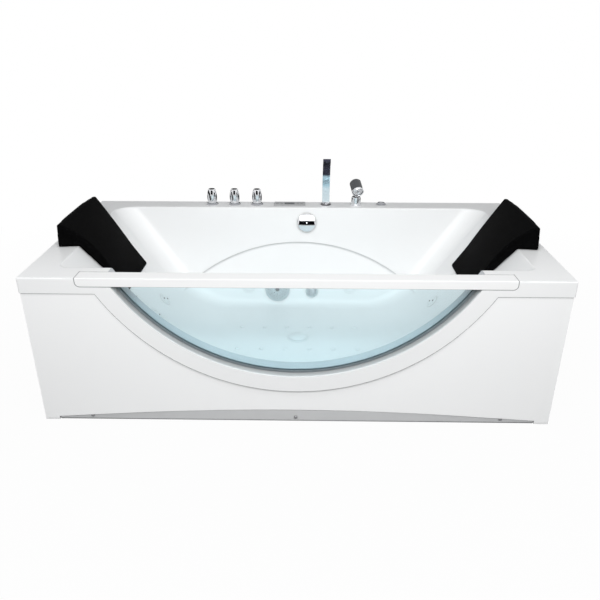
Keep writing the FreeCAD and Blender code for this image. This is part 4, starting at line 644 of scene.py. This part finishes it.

# jets: a near-black rubber nozzle in each of a disc's holes, its black also painted shade for the hole's
# depth, and the lock nut behind the shell

# near-black rubber, which also stands in for the shade inside the jets' holes: painted shade
NOZZLE_RUBBER_AND_SHADE = moulded("nozzle_rubber_and_shade", (0.006, 0.007, 0.008), 500, 0.00003, 0.55, 0.7)
NOZZLE = [(0.0002, 0.0040), (0.0016, 0.0040), (0.0022, 0.0056), (0.0033, 0.0054), (0.0034, 0.0050),
          (0.0034, 0.0012), (0.0002, 0.0012)]
NUT = [(0.0212, -0.0105), (0.0212, -0.0190), (0.0265, -0.0190), (0.0280, -0.0175), (0.0280, -0.0120),
       (0.0265, -0.0105)]
NOZZLE_AWAY, NOZZLE_TURN = 0.011, math.radians(52)
for joint in frame["record"]["behaviour"]["joints"]:
    if not joint["name"].endswith("_spin"):
        continue
    name = joint["name"].removesuffix("_spin")
    spot, way = Vector(joint["pos_m"]), Vector(joint["axis"]).normalized()
    turn = {"left": NOZZLE_TURN, "right": -NOZZLE_TURN}.get(name.split("_")[0], 0.0)
    level = Vector((0, 1, 0)).cross(way).normalized() if turn else Vector((1, 0, 0))
    upright = way.cross(level)
    for k, sign in enumerate((-1, 1), start=1):
        place = spot + sign * NOZZLE_AWAY * (level * math.cos(turn) + upright * math.sin(turn))
        nozzle = revolved(f"{name}_nozzle_{k}", NOZZLE, place, way, "seal_rubber", joint["child"], 20)
        nozzle.data.materials[0] = NOZZLE_RUBBER_AND_SHADE
    revolved(f"{name}_locknut", NUT, spot, way, "jet_plastic", "tub", 72, 12, 0.012)

# hand shower: a chrome bezel and spray plate with rubber nozzles on the CAD head's face

HEAD_FACE = Vector((0.25530, 0.37869, 0.61515))
HEAD_WAY = Vector((0.1822, -0.8282, -0.5299)).normalized()
BEZEL = [(0.0200, -0.0022), (0.0205, 0.0008), (0.0222, 0.0020), (0.0243, 0.0012), (0.0254, -0.0012),
         (0.0256, -0.0080), (0.0251, -0.0084), (0.0249, -0.0022)]
revolved("shower_bezel", BEZEL, HEAD_FACE, HEAD_WAY, "fitting_chrome", "shower_handset")
PLATE = [(0.0002, -0.0019), (0.0198, -0.0019), (0.0199, -0.0008), (0.0150, -0.0002), (0.0002, 0.0002)]
revolved("shower_plate", PLATE, HEAD_FACE, HEAD_WAY, "fitting_chrome", "shower_handset")
DROP = [(0.0002, -0.0010), (0.0011, -0.0010), (0.0010, 0.0006), (0.0005, 0.0010), (0.0002, 0.0010)]
aside = HEAD_WAY.cross(Vector((0, 0, 1))).normalized()
upper = aside.cross(HEAD_WAY)
for ring, (count, away) in enumerate(((5, 0.006), (10, 0.0125))):
    for k in range(count):
        angle = 2 * math.pi * k / count
        place = HEAD_FACE + away * (aside * math.cos(angle) + upper * math.sin(angle))
        drop = revolved(f"shower_nozzle_{ring}_{k}", DROP, place, HEAD_WAY, "seal_rubber",
                        "shower_handset", 12)
        drop.data.materials[0] = NOZZLE_RUBBER_AND_SHADE

# ------------------------------------------------------------------ studio


def softbox(name, place, target, size, power):
    """A rectangular white lamp of a power in watts, aimed at a point."""
    lamp = bpy.data.lights.new(name, "AREA")
    lamp.shape = "RECTANGLE"
    lamp.size, lamp.size_y = size
    lamp.energy = power
    box = bpy.data.objects.new(name, lamp)
    box.visible_camera = False
    box.location = place
    box.rotation_euler = (Vector(target) - Vector(place)).to_track_quat("-Z", "Y").to_euler()
    bpy.context.scene.collection.objects.link(box)


def flag(name, low, high):
    """A black card, upright or lying flat, that only reflections see: it gives the chrome its dark bands."""
    (x0, y0, z0), (x1, y1, z1) = low, high
    mesh = bpy.data.meshes.new(name)
    corners = [(x0, y0, z0), (x1, y0, z0), (x1, y1, z0), (x0, y1, z0)]
    if z1 > z0:
        corners = [(x0, y0, z0), (x1, y1, z0), (x1, y1, z1), (x0, y0, z1)]
    mesh.from_pydata(corners, [], [(0, 1, 2, 3)])
    card = bpy.data.objects.new(name, mesh)
    bpy.context.scene.collection.objects.link(card)
    black = Finish(name + "_cloth", Roughness=1.0, Specular_IOR_Level=0.0)
    black.paint(black.blend(black.noise(30), (0.3, (0.008, 0.008, 0.010)), (0.7, (0.014, 0.014, 0.017))))
    mesh.materials.append(black.mat)
    card.visible_camera = False
    card.visible_diffuse = False
    card.visible_transmission = False
    card.visible_shadow = False


def seen_directly(tree):
    """1 for rays from the camera, a mirror or glass."""
    path = tree.nodes.new("ShaderNodeLightPath")
    total = path.outputs["Is Camera Ray"]
    for ray in ("Is Glossy Ray", "Is Transmission Ray"):
        most = tree.nodes.new("ShaderNodeMath")
        most.operation = "MAXIMUM"
        tree.links.new(total, most.inputs[0])
        tree.links.new(path.outputs[ray], most.inputs[1])
        total = most.outputs[0]
    return total


def studio_world(ambient):
    """Soft light from all round, and white where it is seen directly."""
    world = bpy.data.worlds.new("studio_world")
    bpy.context.scene.world = world
    world.use_nodes = True
    tree = world.node_tree
    tree.nodes.clear()
    out = tree.nodes.new("ShaderNodeOutputWorld")
    lit, shown = (tree.nodes.new("ShaderNodeBackground") for _ in range(2))
    lit.inputs["Color"].default_value = (0.96, 0.98, 1.0, 1)
    lit.inputs["Strength"].default_value = ambient
    shown.inputs["Color"].default_value = (1, 1, 1, 1)
    swap = tree.nodes.new("ShaderNodeMixShader")
    tree.links.new(seen_directly(tree), swap.inputs[0])
    tree.links.new(lit.outputs[0], swap.inputs[1])
    tree.links.new(shown.outputs[0], swap.inputs[2])
    tree.links.new(swap.outputs[0], out.inputs["Surface"])


FLOOR_GAP = 0.0005                # keeps the floor clear of the tub's feet
FLOOR_GLOW = 0.97                 # how much of its white is its own under the tub
FLOOR_FADE = (0.9, 2.6)           # where that grows to all of it, from the middle


def studio_floor(half):
    """Plain pale floor, which keeps the tub's shadow and is white to the camera further out."""
    mesh = bpy.data.meshes.new("studio_floor")
    corners = [(-half, -half, 0), (half, -half, 0), (half, half, 0), (-half, half, 0)]
    mesh.from_pydata(corners, [], [(0, 1, 2, 3)])
    floor = bpy.data.objects.new("studio_floor", mesh)
    floor.location.z = -FLOOR_GAP
    bpy.context.scene.collection.objects.link(floor)
    f = Finish("studio_paper", Roughness=0.9, Specular_IOR_Level=0.1)
    f.paint(f.blend(f.noise(3), (0.3, (0.42, 0.42, 0.42)), (0.7, (0.44, 0.44, 0.44))))
    glow = f.add("ShaderNodeEmission")
    reach = f.add("ShaderNodeVectorMath", operation="LENGTH")
    f.feed(reach, i0=f.place)
    away = f.span(reach.outputs["Value"], FLOOR_GLOW, 1.0, *FLOOR_FADE)
    share = f.math("MULTIPLY", seen_directly(f.tree), away)
    swap = f.add("ShaderNodeMixShader")
    f.feed(swap, i0=share, i1=f.shader.outputs[0], i2=glow.outputs[0])
    f.tree.links.new(swap.outputs[0], f.out.inputs["Surface"])
    mesh.materials.append(f.mat)


studio_floor(40)
studio_world(0.32)
softbox("key_front", (0.08, -2.35, 2.0), (0, 0.0, 0.30), (2.8, 0.9), 50)
softbox("fill_top", (0.1, -1.2, 2.7), (0, -0.4, 0.5), (2.4, 0.9), 17)
flag("flag_front", (-2.6, -4.6, 0.55), (2.6, -4.6, 2.15))
flag("flag_back", (-3.4, 4.6, 1.1), (3.4, 4.6, 2.3))
flag("flag_low", (-3.0, 1.0, 0.002), (3.0, 3.4, 0.002))
flag("flag_left", (-4.2, -2.5, 0.2), (-4.2, 3.0, 1.1))
flag("flag_right", (4.2, -2.5, 0.2), (4.2, 3.0, 1.1))

# ------------------------------------------------------------------ camera, solved from the photograph

CAMERA_AT = Vector((0.0427, -2.2422, 1.3168))
YAW, PITCH, ROLL = (math.radians(a) for a in (-0.885, 24.989, 0.081))
ahead = Vector((math.sin(YAW) * math.cos(PITCH), math.cos(YAW) * math.cos(PITCH), -math.sin(PITCH)))
across = Vector((math.cos(YAW), -math.sin(YAW), 0))
above = across.cross(ahead)
right = across * math.cos(ROLL) + above * math.sin(ROLL)
upward = above * math.cos(ROLL) - across * math.sin(ROLL)
SENSOR_MM, LENS_MM = 36, 36.66
lens_data = bpy.data.cameras.new("photo_camera")
lens_data.sensor_width = SENSOR_MM
lens_data.lens = LENS_MM
camera = bpy.data.objects.new("photo_camera", lens_data)
camera.matrix_world = Matrix((
    (right.x, upward.x, -ahead.x, CAMERA_AT.x),
    (right.y, upward.y, -ahead.y, CAMERA_AT.y),
    (right.z, upward.z, -ahead.z, CAMERA_AT.z),
    (0, 0, 0, 1)))
bpy.context.scene.collection.objects.link(camera)
bpy.context.scene.camera = camera
bpy.context.scene.view_settings.view_transform = "Standard"
